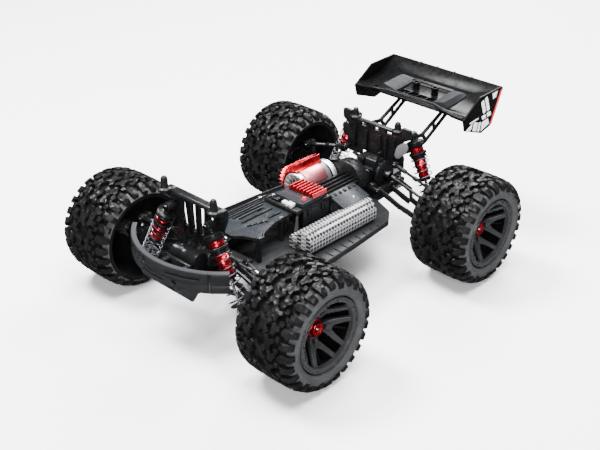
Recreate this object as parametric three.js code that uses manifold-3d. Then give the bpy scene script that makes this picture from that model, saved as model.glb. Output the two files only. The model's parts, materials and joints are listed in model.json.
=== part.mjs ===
// A four-wheel-drive radio-controlled truck chassis with a rear wing, in millimetres.
// +X is forwards, +Y is the truck's left and +Z is up. The origin is on the ground, under the middle
// of the truck's length. The suspension hangs low, as it does with the dampers fully extended.
import * as THREE from "three";
import { mergeVertices } from "three/addons/utils/BufferGeometryUtils.js";
import { ConvexGeometry } from "three/addons/geometries/ConvexGeometry.js";
import Module from "manifold-3d";

const wasm = await Module();
wasm.setup();

// ---- Driving dimensions ---------------------------------------------------------------------
const WHEELBASE = 268;
const FRONT_AXLE_X = 168;
const REAR_AXLE_X = FRONT_AXLE_X - WHEELBASE;
const HALF_LENGTH = 238.5; // bumper nose and wing tip are both this far from the origin
const TYRE_R = 62.5;
const AXLE_Z = TYRE_R;
const WHEEL_INNER_Y = 100; // each wheel spans from here to WHEEL_OUTER_Y
const WHEEL_OUTER_Y = 175;
const HUB_FACE_Y = 151; // outer face of the recessed wheel centre

const ARM_PIVOT = { y: 26, z: 72 }; // lower arm's inner hinge pin
const ARM_END = { y: 104, z: 44 }; // lower arm's outer hinge pin
const LINK_END = { y: 102, z: 88 }; // upper link's outer ball
const KINGPIN_Y = 106;
const DRIVE_Z = 84; // height of the differential outputs and of the centre shaft
const CENTRE_SHAFT_Y = -6;
const CV_PIVOT_Y = 30.5; // inner joint of each half shaft
const CV_END_Y = 97;
const RACK_X = 138.4;
const TIE_INNER = { x: 139.5, y: 31, z: 72 };
const TIE_OUTER = { x: 148, y: 106, z: 50 };
const SERVO_AXIS = { x: 114, y: -22.3 };

const PLATE_BOTTOM = 60;
const PLATE_TOP = 62.5;
const DECK_BOTTOM = 88;
const DECK_TOP = 91;
const GAP = 0.4; // clearance between neighbouring pieces

const MODULE = 1; // gear module
const SPUR_TEETH = 40;
const PINION_TEETH = 17;
const MOTOR_Y = CENTRE_SHAFT_Y - (MODULE * (SPUR_TEETH + PINION_TEETH)) / 2;
const MOTOR_Z = DRIVE_Z;
const MOTOR_R = 18;
const GEAR_X = [-67, -61]; // where the gears stand along the truck

const BUMPER_R = 100;
const BUMPER_HALF_ANGLE = Math.asin(75 / BUMPER_R);

// What differs between the two ends. Offsets are measured forwards from the axle.
const FRONT = {
  name: "front", x: FRONT_AXLE_X, linkOffset: 2.6, linkPivot: { y: 36, z: 96 },
  shockOffset: 20.6, shockTop: { y: 30, z: 136 }, shockEnd: { y: 74, z: 57 }, shockNeck: 8,
};
const REAR = {
  name: "rear", x: REAR_AXLE_X, linkOffset: 6, linkPivot: { y: 38, z: 105 },
  shockOffset: -18, shockTop: { y: 42.5, z: 136 }, shockEnd: { y: 77, z: 58 }, shockNeck: 6,
};

// ---- Colours --------------------------------------------------------------------------------
const BLACK = { color: 0x161718, roughness: 0.5, metalness: 0 };
const GREY = { color: 0x3a3c40, roughness: 0.55, metalness: 0 };
const RUBBER = { color: 0x141414, roughness: 0.85, metalness: 0 };
const RED = { color: 0xc8141e, roughness: 0.3, metalness: 0.8 };
const STEEL = { color: 0x9a9da1, roughness: 0.3, metalness: 1 };
const SILVER = { color: 0xb9bbbd, roughness: 0.4, metalness: 0.6 };

// ---- Small tools ----------------------------------------------------------------------------
const v3 = (x, y, z) => new THREE.Vector3(x, y, z);

// A closed geometry as a solid. A lathe's profile may run either way, so a solid that comes out
// inside out has its faces turned.
function toSolid(geometry) {
  const bare = geometry.clone();
  bare.deleteAttribute("normal");
  bare.deleteAttribute("uv");
  const merged = mergeVertices(bare, 1e-4);
  const vertProperties = new Float32Array(merged.attributes.position.array);
  const triVerts = new Uint32Array(merged.index.array);
  const made = new wasm.Manifold(new wasm.Mesh({ numProp: 3, vertProperties, triVerts }));
  if (made.volume() >= 0) return made;
  for (let i = 0; i < triVerts.length; i += 3) {
    [triVerts[i + 1], triVerts[i + 2]] = [triVerts[i + 2], triVerts[i + 1]];
  }
  return new wasm.Manifold(new wasm.Mesh({ numProp: 3, vertProperties, triVerts }));
}

const join = (...solids) => solids.reduce((a, b) => a.add(b));
const cut = (solid, ...tools) => tools.reduce((a, b) => a.subtract(b), solid);

function box(x0, x1, y0, y1, z0, z1) {
  const g = new THREE.BoxGeometry(x1 - x0, y1 - y0, z1 - z0);
  return toSolid(g.translate((x0 + x1) / 2, (y0 + y1) / 2, (z0 + z1) / 2));
}

// A round bar between two points.
function bar(from, to, radius, sides = 8) {
  const along = to.clone().sub(from);
  const g = new THREE.CylinderGeometry(radius, radius, along.length(), sides);
  g.applyQuaternion(new THREE.Quaternion().setFromUnitVectors(v3(0, 1, 0), along.clone().normalize()));
  const middle = from.clone().add(to).multiplyScalar(0.5);
  return toSolid(g.translate(middle.x, middle.y, middle.z));
}
const barX = (x0, x1, y, z, r, sides = 8) => bar(v3(x0, y, z), v3(x1, y, z), r, sides);
const barY = (x, y0, y1, z, r, sides = 8) => bar(v3(x, y0, z), v3(x, y1, z), r, sides);
const barZ = (x, y, z0, z1, r, sides = 8) => bar(v3(x, y, z0), v3(x, y, z1), r, sides);

const outline = (points) => new THREE.Shape(points.map(([u, v]) => new THREE.Vector2(u, v)));

function extrude(points, depth) {
  return new THREE.ExtrudeGeometry(outline(points), { depth, bevelEnabled: false });
}

// Plates cut from an outline: flat (x, y), standing across the truck (y, z), or along it (x, z).
const flatPlate = (points, z0, z1) => toSolid(extrude(points, z1 - z0).translate(0, 0, z0));

function crossPlate(points, x0, x1) {
  const turn = new THREE.Matrix4().makeBasis(v3(0, 1, 0), v3(0, 0, 1), v3(1, 0, 0));
  return toSolid(extrude(points, x1 - x0).applyMatrix4(turn).translate(x0, 0, 0));
}

function sidePlate(points, y0, y1) {
  const turn = new THREE.Matrix4().makeBasis(v3(1, 0, 0), v3(0, 0, 1), v3(0, -1, 0));
  return toSolid(extrude(points, y1 - y0).applyMatrix4(turn).translate(0, y1, 0));
}

const hull = (points) => toSolid(new ConvexGeometry(points.map((p) => v3(...p))));

// A profile of [radius, y] points turned about an axle that lies along Y.
function wheelTurned(profile, x, z, sides) {
  const closed = [...profile, profile[0]].map(([r, y]) => new THREE.Vector2(r, y));
  return toSolid(new THREE.LatheGeometry(closed, sides).translate(x, 0, z));
}

const mirrored = (points) => [...points, ...points.slice().reverse().map(([y, z]) => [-y, z])];

const truck = new THREE.Group();

function piece(name, solid, look) {
  const made = solid.asOriginal().simplify(0.01).getMesh();
  const g = new THREE.BufferGeometry();
  g.setAttribute("position", new THREE.BufferAttribute(new Float32Array(made.vertProperties), 3));
  g.setIndex(new THREE.BufferAttribute(new Uint32Array(made.triVerts), 1));
  g.computeVertexNormals();
  const mesh = new THREE.Mesh(g, new THREE.MeshStandardMaterial(look));
  mesh.name = name;
  truck.add(mesh);
}

// The same solid on both sides of the truck: the right-hand one is its mirror image.
function pair(name, solid, look) {
  piece(`${name}_left`, solid, look);
  piece(`${name}_right`, solid.mirror([0, 1, 0]), look);
}

// ---- Chassis --------------------------------------------------------------------------------
function chassisPlate() {
  const half = [
    [206, 0], [206, 24], [192, 26], [150, 26], [132, 40], [104, 66], [78, 84], [20, 80], [-40, 74],
    [-64, 56], [-76, 28], [-136, 24], [-136, 0],
  ];
  const plan = [...half, ...half.slice(1, -1).reverse().map(([x, y]) => [x, -y])];
  const wall = [[78, 81.5], [78, 84], [20, 80], [-40, 74], [-40, 71.5], [20, 77.5]];
  const walls = [1, -1].map((s) =>
    flatPlate(wall.map(([x, y]) => [x, s * y]), PLATE_TOP - 1, PLATE_TOP + 4));
  return join(flatPlate(plan, PLATE_BOTTOM, PLATE_TOP), ...walls);
}

// A block that holds the differential, with an output cup on each side and the lower arms' hinge
// pins. `nose` is 1 or -1: the side that faces away from the truck's middle.
function gearbox(axleX, nose) {
  const inner = axleX - nose * 22;
  const outer = axleX + nose * 34;
  const span = (a, b) => [Math.min(a, b), Math.max(a, b)];
  const lower = box(...span(inner, outer), -19, 19, PLATE_TOP + GAP, DRIVE_Z - 6);
  const housing = barY(axleX, -20, 20, DRIVE_Z, 17, 20);
  const neck = box(...span(inner, axleX), -15, 12, DRIVE_Z - 8, DRIVE_Z + 10);
  const cups = barY(axleX, -27, 27, DRIVE_Z, 6);
  const top = box(axleX - 14, axleX + (nose > 0 ? 5.6 : 14), -16, 16, DRIVE_Z, DRIVE_Z + 20);
  const input = barX(...span(inner - nose * 8, axleX), CENTRE_SHAFT_Y, DRIVE_Z, 4.8);
  const pins = [1, -1].map((s) => barX(axleX - 24, axleX + 24, s * ARM_PIVOT.y, ARM_PIVOT.z, 1.5));
  const lugs = [1, -1].flatMap((s) => [-24.6, 20.5].map((x) =>
    box(axleX + x, axleX + x + 4.1, ...span(s * 15, s * 29.8), 68, 76)));
  return join(lower, housing, neck, cups, top, input, ...pins, ...lugs);
}

function frontGearbox() {
  const nose = barY(192.4, -19, 19, 90, 10, 20);
  const noseBase = box(182.4, 202, -19, 19, 76, 90);
  const rackShelf = box(134.5, 150, -10, 10, PLATE_TOP + GAP, 69.6);
  return join(gearbox(FRONT_AXLE_X, 1), nose, noseBase, rackShelf);
}

function frontDeck() {
  const plan = [
    [136, 4], [128, 12], [124, 22], [120, 31], [113, 30], [108, 24], [84, 16], [46, 14],
    [46, -34], [116, -34], [126, -26], [136, -12],
  ];
  const deck = flatPlate(plan, DECK_BOTTOM, DECK_TOP);
  const rail = box(46, 118, -37, -33, DECK_BOTTOM - 4, DECK_TOP + 2.5);
  const ribs = [-24, -10, 3].map((y) => box(62, 108, y - 1.5, y + 1.5, DECK_TOP - 1, DECK_TOP + 1.5));
  const legs = [[119, 27], [112, -36], [56, -36], [70, 12]].map(([x, y]) =>
    barZ(x, y, PLATE_TOP + GAP, DECK_BOTTOM + 1, 3, 8));
  return join(deck, rail, ...ribs, ...legs);
}

// Ribbed deck behind the radio box, with a round hood over the spur gear at its rear end and a
// sloping flank that reaches over the battery.
function gearCover() {
  const clear = (MODULE * SPUR_TEETH) / 2 + 2.2;
  const [x0, x1] = [GEAR_X[0] - 3, GEAR_X[1] + 3];
  const hollow = barX(x0, x1, CENTRE_SHAFT_Y, DRIVE_Z, clear, 28);
  const hood = cut(
    barX(x0 - 1.6, x1 + 1.6, CENTRE_SHAFT_Y, DRIVE_Z, clear + 2, 28),
    hollow,
    box(x0 - 5, x1 + 5, -60, 60, 0, DRIVE_Z - 4),
    barX(x0 - 10, x1 + 10, CENTRE_SHAFT_Y, DRIVE_Z, 5.4, 12),
    barX(x0 - 4, x1 + 8, MOTOR_Y, MOTOR_Z, (MODULE * PINION_TEETH) / 2 + 2.6, 20),
  );
  const deck = box(x1 + 1, -GAP, -11.5, 13, DECK_BOTTOM, DECK_TOP);
  const flank = crossPlate([[12, 88], [19, 86.4], [38, 80.9], [38, 82.9], [20, 89], [12, 91]], -49, -4);
  const ribs = [-9, -2, 5, 11].map((y) => box(x1 + 1, -2, y - 1, y + 1, DECK_TOP - 1, DECK_TOP + 3));
  const legs = [-8, -46].map((x) => barZ(x, 11, PLATE_TOP + GAP, DECK_BOTTOM + 1, 2.5, 8));
  return join(hood, cut(join(deck, flank, ...ribs), hollow), ...legs);
}

function radioBox() {
  const shell = box(2, 55, -27, 22, 72, 95);
  const rim = box(0.5, 56.5, -28.5, 23.5, 92.5, 95);
  const legs = [[8, -22], [8, 18], [36, -22], [36, 18]].map(([x, y]) =>
    barZ(x, y, PLATE_TOP + GAP, 74, 3, 8));
  const shaftTunnel = box(-5, 60, CENTRE_SHAFT_Y - 6, CENTRE_SHAFT_Y + 6, 70, DECK_TOP + 1);
  const deckSlot = box(45.4, 60, -45, 40, 60, DECK_TOP + 0.6);
  return cut(join(shell, rim, ...legs), shaftTunnel, deckSlot);
}

function speedController() {
  const body = box(6, 47, -22, 22, 95 + GAP, 101);
  const fins = Array.from({ length: 8 }, (_, i) => -14.2 + i * 4.9).map((y) =>
    box(6, 29, y - 0.9, y + 0.9, 100, 106));
  return join(body, ...fins);
}

const batteryPack = () => crossPlate(
  [
    [28, 63], [58, 63], [61, 67], [61, 79.5], [55.5, 87.5], [50, 89.5], [45.5, 89], [38.5, 80.2],
    [28, 78.2],
  ],
  -35, 75,
);

// ---- Motor and drive train ------------------------------------------------------------------
function motor() {
  const can = barX(-56, 0, MOTOR_Y, MOTOR_Z, MOTOR_R, 24);
  const nose = barX(-58.5, -55, MOTOR_Y, MOTOR_Z, 6.5, 16);
  const shaft = barX(GEAR_X[0] + 0.5, -55, MOTOR_Y, MOTOR_Z, 1.6, 12);
  const feet = [[-54, -49], [-5, 0]].map(([a, b]) =>
    box(a, b, MOTOR_Y - 11, MOTOR_Y + 11, PLATE_TOP + GAP, MOTOR_Z - 12));
  return join(can, nose, shaft, ...feet);
}

// A clamp round the motor with fins that fan out over its top and its right side.
function motorHeatSink() {
  const [x0, x1] = [-46, -1];
  const inner = MOTOR_R + GAP;
  const ring = cut(
    barX(x0, x1, MOTOR_Y, MOTOR_Z, inner + 2.4, 28),
    barX(x0 - 1, x1 + 1, MOTOR_Y, MOTOR_Z, inner + 0.2, 28),
    box(x0 - 1, x1 + 1, -80, 0, 0, MOTOR_Z - 9),
  );
  const fins = Array.from({ length: 9 }, (_, i) => THREE.MathUtils.degToRad(98 + i * 11)).map((a) => {
    const g = new THREE.BoxGeometry(x1 - x0, 8, 1.3).translate((x0 + x1) / 2, inner + 5, 0);
    return toSolid(g.rotateX(a).translate(0, MOTOR_Y, MOTOR_Z));
  });
  return join(ring, ...fins);
}

// A straight-flanked gear about an axis along X. The tooth at `phase` points straight along it.
function gear(teeth, y, z, phase) {
  const pitch = (MODULE * teeth) / 2;
  const [root, tip] = [pitch - MODULE * 1.15, pitch + MODULE * 0.85];
  const step = (2 * Math.PI) / teeth;
  const points = [];
  for (let i = 0; i < teeth; i++) {
    for (const [share, r] of [[-0.33, root], [-0.12, tip], [0.12, tip], [0.33, root]]) {
      const a = phase + (i + share) * step;
      points.push([y + r * Math.cos(a), z + r * Math.sin(a)]);
    }
  }
  return crossPlate(points, GEAR_X[0], GEAR_X[1]);
}

function centreShaft() {
  const front = FRONT_AXLE_X - 30.4;
  const rear = REAR_AXLE_X + 30.4;
  const shaft = barX(rear, front, CENTRE_SHAFT_Y, DRIVE_Z, 2.5);
  const cup = barX(front - 9, front, CENTRE_SHAFT_Y, DRIVE_Z, 3.4);
  return join(gear(SPUR_TEETH, CENTRE_SHAFT_Y, DRIVE_Z, Math.PI), shaft, cup);
}

const motorPinion = () => cut(
  gear(PINION_TEETH, MOTOR_Y, MOTOR_Z, Math.PI / PINION_TEETH),
  barX(GEAR_X[0] - 1, GEAR_X[1] + 1, MOTOR_Y, MOTOR_Z, 2, 12),
);

// Each half shaft's two joints are balls on a plain rod.
function halfShaft(axleX) {
  const slope = (AXLE_Z - DRIVE_Z) / (KINGPIN_Y - CV_PIVOT_Y);
  const inner = v3(axleX, CV_PIVOT_Y, DRIVE_Z);
  const outer = v3(axleX, CV_END_Y, DRIVE_Z + slope * (CV_END_Y - CV_PIVOT_Y));
  const balls = [[inner, 3], [outer, 2.8]].map(([p, r]) =>
    toSolid(new THREE.SphereGeometry(r, 8, 6).translate(p.x, p.y, p.z)));
  return join(bar(inner, outer, 1.7), ...balls);
}

// ---- Steering -------------------------------------------------------------------------------
function steeringServo() {
  const { x, y } = SERVO_AXIS;
  const body = box(x - 32, x + 8, y - 9.7, y + 9.7, PLATE_TOP + GAP, 80);
  const flange = box(x - 38, x + 14, y - 9.7, y + 9.7, 74, 77);
  return join(body, flange, barZ(x, y, 79, 84, 5));
}

function servoHorn() {
  const { x, y } = SERVO_AXIS;
  const plan = [
    [x - 4, y - 5], [x + 3, y - 5.6], [RACK_X + 2, y - 3], [RACK_X + 2, y + 3], [x + 3, y + 5.6],
    [x - 4, y + 5],
  ];
  return join(flatPlate(plan, 84.4, 87.4), barZ(RACK_X, y, 70.6, 86, 1.5));
}

// The horn's pin works in the slot, and a pin at each end carries a tie rod.
function steeringRack() {
  const slide = box(RACK_X - 5, RACK_X + 3.8, -27, 27, 70, 74);
  const tongues = box(RACK_X - 5, RACK_X - 1.2, -33.4, 33.4, 70, 74);
  const { y } = SERVO_AXIS;
  const slot = box(RACK_X - 3.2, RACK_X + 2, y - 1.9, y + 1.9, 60, 80);
  const pins = [1, -1].map((s) => barX(RACK_X - 2, RACK_X + 3.6, s * TIE_INNER.y, TIE_INNER.z, 1.3));
  return join(cut(join(slide, tongues), slot), ...pins);
}

// A rod with an eye at the rack and a loose ring round the knuckle's ball stud.
function tieRod() {
  const { x, y, z } = TIE_INNER;
  const eye = barX(x - 1.9, x + 1.9, y, z, 3.4);
  const ring = barZ(TIE_OUTER.x, TIE_OUTER.y, TIE_OUTER.z - 1.8, TIE_OUTER.z + 1.8, 5.3, 12);
  const rod = bar(v3(x, y, z), v3(TIE_OUTER.x, TIE_OUTER.y, TIE_OUTER.z), 1.8);
  return cut(
    join(rod, eye, ring),
    barX(x - 3, x + 3, y, z, 1.75),
    barZ(TIE_OUTER.x, TIE_OUTER.y, TIE_OUTER.z - 9, TIE_OUTER.z + 9, 3.9, 12),
  );
}

// ---- Suspension -----------------------------------------------------------------------------
const droop = Math.atan2(ARM_END.z - ARM_PIVOT.z, ARM_END.y - ARM_PIVOT.y);
const armLength = Math.hypot(ARM_END.z - ARM_PIVOT.z, ARM_END.y - ARM_PIVOT.y);

// The lower arm is drawn level, from its inner pin outwards, and then tilted down. Its edge is
// recessed beside the damper, and an ear beyond the recess holds the pin for the damper's lower eye.
function lowerArm({ x, shockOffset, shockEnd }) {
  const s = Math.sign(shockOffset);
  const edge = Math.abs(shockOffset) - 5.2;
  const recess = Math.abs(shockOffset) - 10.8;
  const plan = [
    [-19.8, 0], [-19.8, 34], [-14, 68], [-14, armLength], [14, armLength], [14, 71], [edge, 65],
    [edge, 47.5], [recess, 46], [recess, 31], [19.8, 20], [19.8, 0],
  ].map(([u, v]) => [s * u, v]);
  const windows = [
    [[-14, 8], [14, 8], [14, 17.5], [3, 29], [3, 31], [-12, 31]],
    [[-10, 37], [2, 37], [2, 62], [-7, 62]],
  ].map((w) => w.map(([u, v]) => [s * u, v]));
  const outer = plan.map(([u, v]) => new THREE.Vector2(u, v));
  if (THREE.ShapeUtils.isClockWise(outer)) plan.reverse();
  const sheet = cut(flatPlate(plan, -3.5, 3.5), ...windows.map((w) => flatPlate(w, -9, 9)));
  const level = cut(
    join(sheet, barX(-19.8, 19.8, 0, 0, 3.9), barX(-14, 14, armLength, 0, 3.9)),
    barX(-25, 25, 0, 0, 1.95),
    box(-9.2, 9.2, 72, 95, -9, 9),
  );
  const pin = barX(-13, 13, armLength, 0, 1.5);
  const placed = join(level, pin)
    .rotate([THREE.MathUtils.radToDeg(droop), 0, 0])
    .translate([x, ARM_PIVOT.y, ARM_PIVOT.z]);
  const { y, z } = shockEnd;
  const at = (d) => x + s * (Math.abs(shockOffset) + d);
  const span = (a, b) => [Math.min(at(a), at(b)), Math.max(at(a), at(b))];
  const ear = [
    [y - 4.2, z - 5], [y + 8, z - 8], [y + 4.2, z + 2.6], [y + 1.8, z + 3.7], [y - 1.8, z + 3.7],
    [y - 4.2, z + 2],
  ];
  const tab = crossPlate(ear, ...span(-9.6, -5.2));
  return join(placed, tab, barX(...span(-6, 6.2), y, z, 1.5), barX(...span(5.2, 6.4), y, z, 2.8));
}

function camberLink({ x, linkOffset, linkPivot }) {
  const at = x + linkOffset;
  const eyes = [[linkPivot, 3.8], [LINK_END, 4.6]].map(([p, r]) =>
    barX(at - 3, at + 3, p.y, p.z, r, 12));
  const rod = bar(v3(at, linkPivot.y, linkPivot.z), v3(at, LINK_END.y, LINK_END.z), 2.2);
  return cut(
    join(rod, ...eyes),
    barX(at - 4, at + 4, linkPivot.y, linkPivot.z, 1.9),
    barX(at - 4, at + 4, LINK_END.y, LINK_END.z, 3, 12),
  );
}

// Points the damper's own axis, drawn along +Y from its upper eye, at its lower eye.
function alongShock(end, solid) {
  const tilt = Math.atan2(end.shockEnd.z - end.shockTop.z, end.shockEnd.y - end.shockTop.y);
  return solid
    .rotate([THREE.MathUtils.radToDeg(tilt), 0, 0])
    .translate([end.x + end.shockOffset, end.shockTop.y, end.shockTop.z]);
}

const shockLength = ({ shockTop, shockEnd }) =>
  Math.hypot(shockEnd.y - shockTop.y, shockEnd.z - shockTop.z);

const lathe = (profile, sides) =>
  toSolid(new THREE.LatheGeometry(profile.map(([r, s]) => new THREE.Vector2(r, s)), sides));

// From the top: eye, cap, anodised band, two spring collars, grooved body and bottom cap. The neck
// between the eye and the cap is longer at the front.
function shockBody(end) {
  const neck = end.shockNeck;
  const profile = [
    [0, -4], [4.4, -4], [4.4, 0], [10.2, 0.6], [10.2, 7.6], [8.2, 8.2], [8.2, 14], [10.6, 14.4],
    [10.6, 17.4], [9.4, 18.2], [9.4, 20.6], [7.6, 21], [7.6, 30], [6.4, 44], [6.8, 44.4], [6.8, 49],
    [2.1, 49], [2.1, 13], [0, 13],
  ].map(([r, s]) => [r, neck + s]);
  const eye = barX(-4.8, 4.8, 0, 0, 4.8);
  return alongShock(end, cut(join(lathe(profile, 14), eye), barX(-6, 6, 0, 0, 2.1)));
}

function shockSpring(end) {
  const [from, to] = [end.shockNeck + 20.9, shockLength(end) - 7.8];
  const [turns, r, wire] = [6.5, 9.8, 0.7];
  const path = new THREE.Curve();
  path.getPoint = (t, target = new THREE.Vector3()) => {
    const a = 2 * Math.PI * turns * t;
    return target.set(r * Math.cos(a), from + wire + (to - from - 2 * wire) * t, r * Math.sin(a));
  };
  const section = outline([[-wire, -wire], [wire, -wire], [wire, wire], [-wire, wire]]);
  const coil = new THREE.ExtrudeGeometry(section, {
    steps: 52, bevelEnabled: false, extrudePath: path,
  });
  return alongShock(end, toSolid(coil));
}

function shockShaft(end) {
  const length = shockLength(end);
  const top = end.shockNeck + 37;
  const profile = [
    [0, top], [1.7, top], [1.7, length - 7.4], [10.2, length - 7.4], [10.2, length - 5.2],
    [4, length - 4.6], [2.6, length - 3], [0, length - 3],
  ];
  const eye = barX(-4.6, 4.6, length, 0, 4.2, 16);
  return alongShock(end, cut(join(lathe(profile, 12), eye), barX(-6, 6, length, 0, 2.6, 12)));
}

// The front upright: a C that turns on the arm's outer pin and holds the kingpin.
function casterBlock({ x, linkOffset }) {
  const link = x + linkOffset;
  const block = cut(
    box(x - 9, x + 9, 96, 112, 49, 77),
    box(x - 10, x + 10, 99.6, 113, 54, 71.2),
    barY(x, 90, 104, AXLE_Z, 7, 16),
    barZ(x, KINGPIN_Y, 40, 80, 2.1),
  );
  const foot = cut(
    join(barX(x - 8.6, x + 8.6, ARM_END.y, ARM_END.z, 4), box(x - 8, x + 8, 100.5, 107.5, 45, 50)),
    barX(x - 10, x + 10, ARM_END.y, ARM_END.z, 1.95),
    barZ(x, KINGPIN_Y, 47.5, 60, 2.1),
  );
  const lug = box(link - 11.5, link - 5, 97, 107, 76.6, 92);
  return join(block, foot, lug, barX(link - 6, link + 4.4, LINK_END.y, LINK_END.z, 1.4));
}

function steeringKnuckle({ x }) {
  const upright = barZ(x, KINGPIN_Y, 54.4, 70.8, 5.6, 16);
  const kingpin = barZ(x, KINGPIN_Y, 49.4, 76.4, 1.7);
  const carrier = barY(x, 108, 126.5, AXLE_Z, 8, 16);
  const arm = box(TIE_OUTER.x - 3, x, KINGPIN_Y - 2.5, KINGPIN_Y + 2.5, 56.2, 59.6);
  const stud = barZ(TIE_OUTER.x, TIE_OUTER.y, 46.5, 57, 1.2);
  const bore = barY(x, 95, 130, AXLE_Z, 2.9);
  return join(cut(join(upright, kingpin, carrier, arm), bore), stud);
}

function hubCarrier({ x, linkOffset }) {
  const link = x + linkOffset;
  const foot = join(
    barX(x - 8.6, x + 8.6, ARM_END.y, ARM_END.z, 4),
    box(x - 8, x + 8, 100, 109, 45, 56),
  );
  const boss = barY(x, 99, 126.5, AXLE_Z, 9.6, 16);
  const lug = box(link - 11.5, link - 5, 98, 106, 66, 92);
  return join(
    cut(
      join(foot, boss, lug),
      barX(x - 10, x + 10, ARM_END.y, ARM_END.z, 1.95),
      barY(x, 90, 104.6, AXLE_Z, 6.6, 16),
      barY(x, 95, 130, AXLE_Z, 2.9),
    ),
    barX(link - 6, link + 4.4, LINK_END.y, LINK_END.z, 1.4),
  );
}

// ---- Wheels ---------------------------------------------------------------------------------
// Rim, stub axle and wheel nut. Five forked spokes fill the recessed face.
function rim({ x }) {
  const barrel = wheelTurned(
    [
      [34.2, 170.2], [34.8, 172], [39.6, 172.6], [40.2, 168.6], [43.8, 165], [47.6, 106], [50, 104],
      [50, 101], [46.6, 101], [41.4, 152],
    ],
    x, AXLE_Z, 20,
  );
  const disc = barY(x, HUB_FACE_Y - 5, HUB_FACE_Y, AXLE_Z, 42.8, 20);
  const window = (from, to, inner, outer, turn) => {
    const corners = [[inner, from * 1.25], [outer, from], [outer, to], [inner, to * 1.25]];
    const points = corners.map(([r, a]) => {
      const angle = THREE.MathUtils.degToRad(a + turn);
      return [x + r * Math.cos(angle), AXLE_Z + r * Math.sin(angle)];
    });
    return sidePlate(points, HUB_FACE_Y - 9, HUB_FACE_Y + 4);
  };
  const windows = Array.from({ length: 5 }, (_, i) => 90 + i * 72).flatMap((turn) => [
    window(-16, 16, 15, 38, turn + 36),
    window(-8, 8, 19, 38, turn),
  ]);
  const hub = barY(x, 128, HUB_FACE_Y, AXLE_Z, 9, 16);
  const nut = barY(x, HUB_FACE_Y - 1, HUB_FACE_Y + 4, AXLE_Z, 6.6, 6);
  const axle = barY(x, 103, HUB_FACE_Y, AXLE_Z, 2.5, 16);
  return join(cut(join(barrel, disc), ...windows), hub, nut, axle);
}

// A hollow carcass with two staggered rows of shoulder lugs.
function tyre({ x }) {
  const carcass = wheelTurned(
    [
      [41, 170.6], [42.5, 173.6], [48, WHEEL_OUTER_Y], [55, 173.6], [59.4, 164], [59.4, 111],
      [55, 101.4], [52, WHEEL_INNER_Y], [50.9, 101], [50.9, 106.4], [56.2, 114], [56.2, 160],
      [50, 170.6], [45.2, 167.4],
    ],
    x, AXLE_Z, 20,
  );
  const count = 12;
  const halfAngle = THREE.MathUtils.degToRad(7);
  const lugs = [[101.6, 134, 0], [141, 173.4, 0.5]].flatMap(([y0, y1, shift]) =>
    Array.from({ length: count }, (_, i) => {
      const middle = -Math.PI / 2 + halfAngle + ((i + shift) * 2 * Math.PI) / count;
      const corner = (r, a) => [x + r * Math.cos(middle + a), AXLE_Z + r * Math.sin(middle + a)];
      const foot = [corner(57.6, halfAngle), corner(57.6, -halfAngle)];
      return sidePlate([...foot, corner(TYRE_R, -halfAngle), corner(TYRE_R, halfAngle)], y0, y1);
    }));
  return join(carcass, ...lugs);
}

// ---- Bumper ---------------------------------------------------------------------------------
function frontBumper() {
  const middle = HALF_LENGTH - BUMPER_R;
  const [bottom, top, thick] = [83, 106.5, 4];
  const steps = 16;
  const arc = (r, half = BUMPER_HALF_ANGLE) => Array.from({ length: steps + 1 }, (_, i) => {
    const a = half * (1 - (2 * i) / steps);
    return [middle + r * Math.cos(a), r * Math.sin(a)];
  });
  const band = flatPlate([...arc(BUMPER_R), ...arc(BUMPER_R - thick).reverse()], bottom, top);
  const rail = flatPlate([...arc(BUMPER_R), ...arc(BUMPER_R - 6).reverse()], top - 3, top);
  const chinRing = arc(BUMPER_R - 0.5, Math.asin(0.52)).map(([x, y]) => [x, y, bottom + 2]);
  const chinSolid = hull([...chinRing, [223.5, 38, 66], [223.5, -38, 66]]);
  const chin = cut(chinSolid, chinSolid.translate([-4, 0, 0]), chinSolid.translate([-8, 0, 0.01]));
  const skid = hull([
    [224, 38, 68], [219.5, 38, 66], [224, -38, 68], [219.5, -38, 66],
    [207, 20, 64], [207, 20, 60.6], [207, -20, 64], [207, -20, 60.6],
  ]);
  const stays = [-14, 14].map((y) => box(203, 236, y - 3, y + 3, 84, 91));
  const bridge = box(203, 207.5, -18, 18, 62.9, 92);
  return join(band, rail, chin, skid, ...stays, bridge);
}

// ---- Towers and body posts ------------------------------------------------------------------
const bodyPost = (x, y, z, height) => join(
  barZ(x, y, z - 2, z + 2, 5.2),
  barZ(x, y, z, z + height - 3, 3.6),
  barZ(x, y, z + height - 4, z + height, 2.6),
);

const perforated = (plan, holes, x0, x1) =>
  cut(crossPlate(plan, x0, x1), ...holes.map((h) => crossPlate(h, x0 - 1, x1 + 1)));

// Shouldered pins that carry the dampers' upper eyes. `face` is the tower's face and `s` is the
// side it looks to along X.
const shockPins = ({ x, shockOffset, shockTop }, face, s) => [1, -1].flatMap((side) => {
  const at = x + shockOffset;
  const run = (a, b, r) => barX(Math.min(a, b), Math.max(a, b), side * shockTop.y, shockTop.z, r);
  return [
    run(face - s, at - s * 5.3, 3.2),
    run(face, at + s * 6.5, 1.8),
    run(at + s * 5.3, at + s * 7, 3.2),
  ];
});

const linkPins = ({ x, linkOffset, linkPivot }, face, s) => [1, -1].map((side) =>
  barX(Math.min(face, x + linkOffset + s * 4.4), Math.max(face, x + linkOffset + s * 4.4),
    side * linkPivot.y, linkPivot.z, 1.5));

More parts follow.
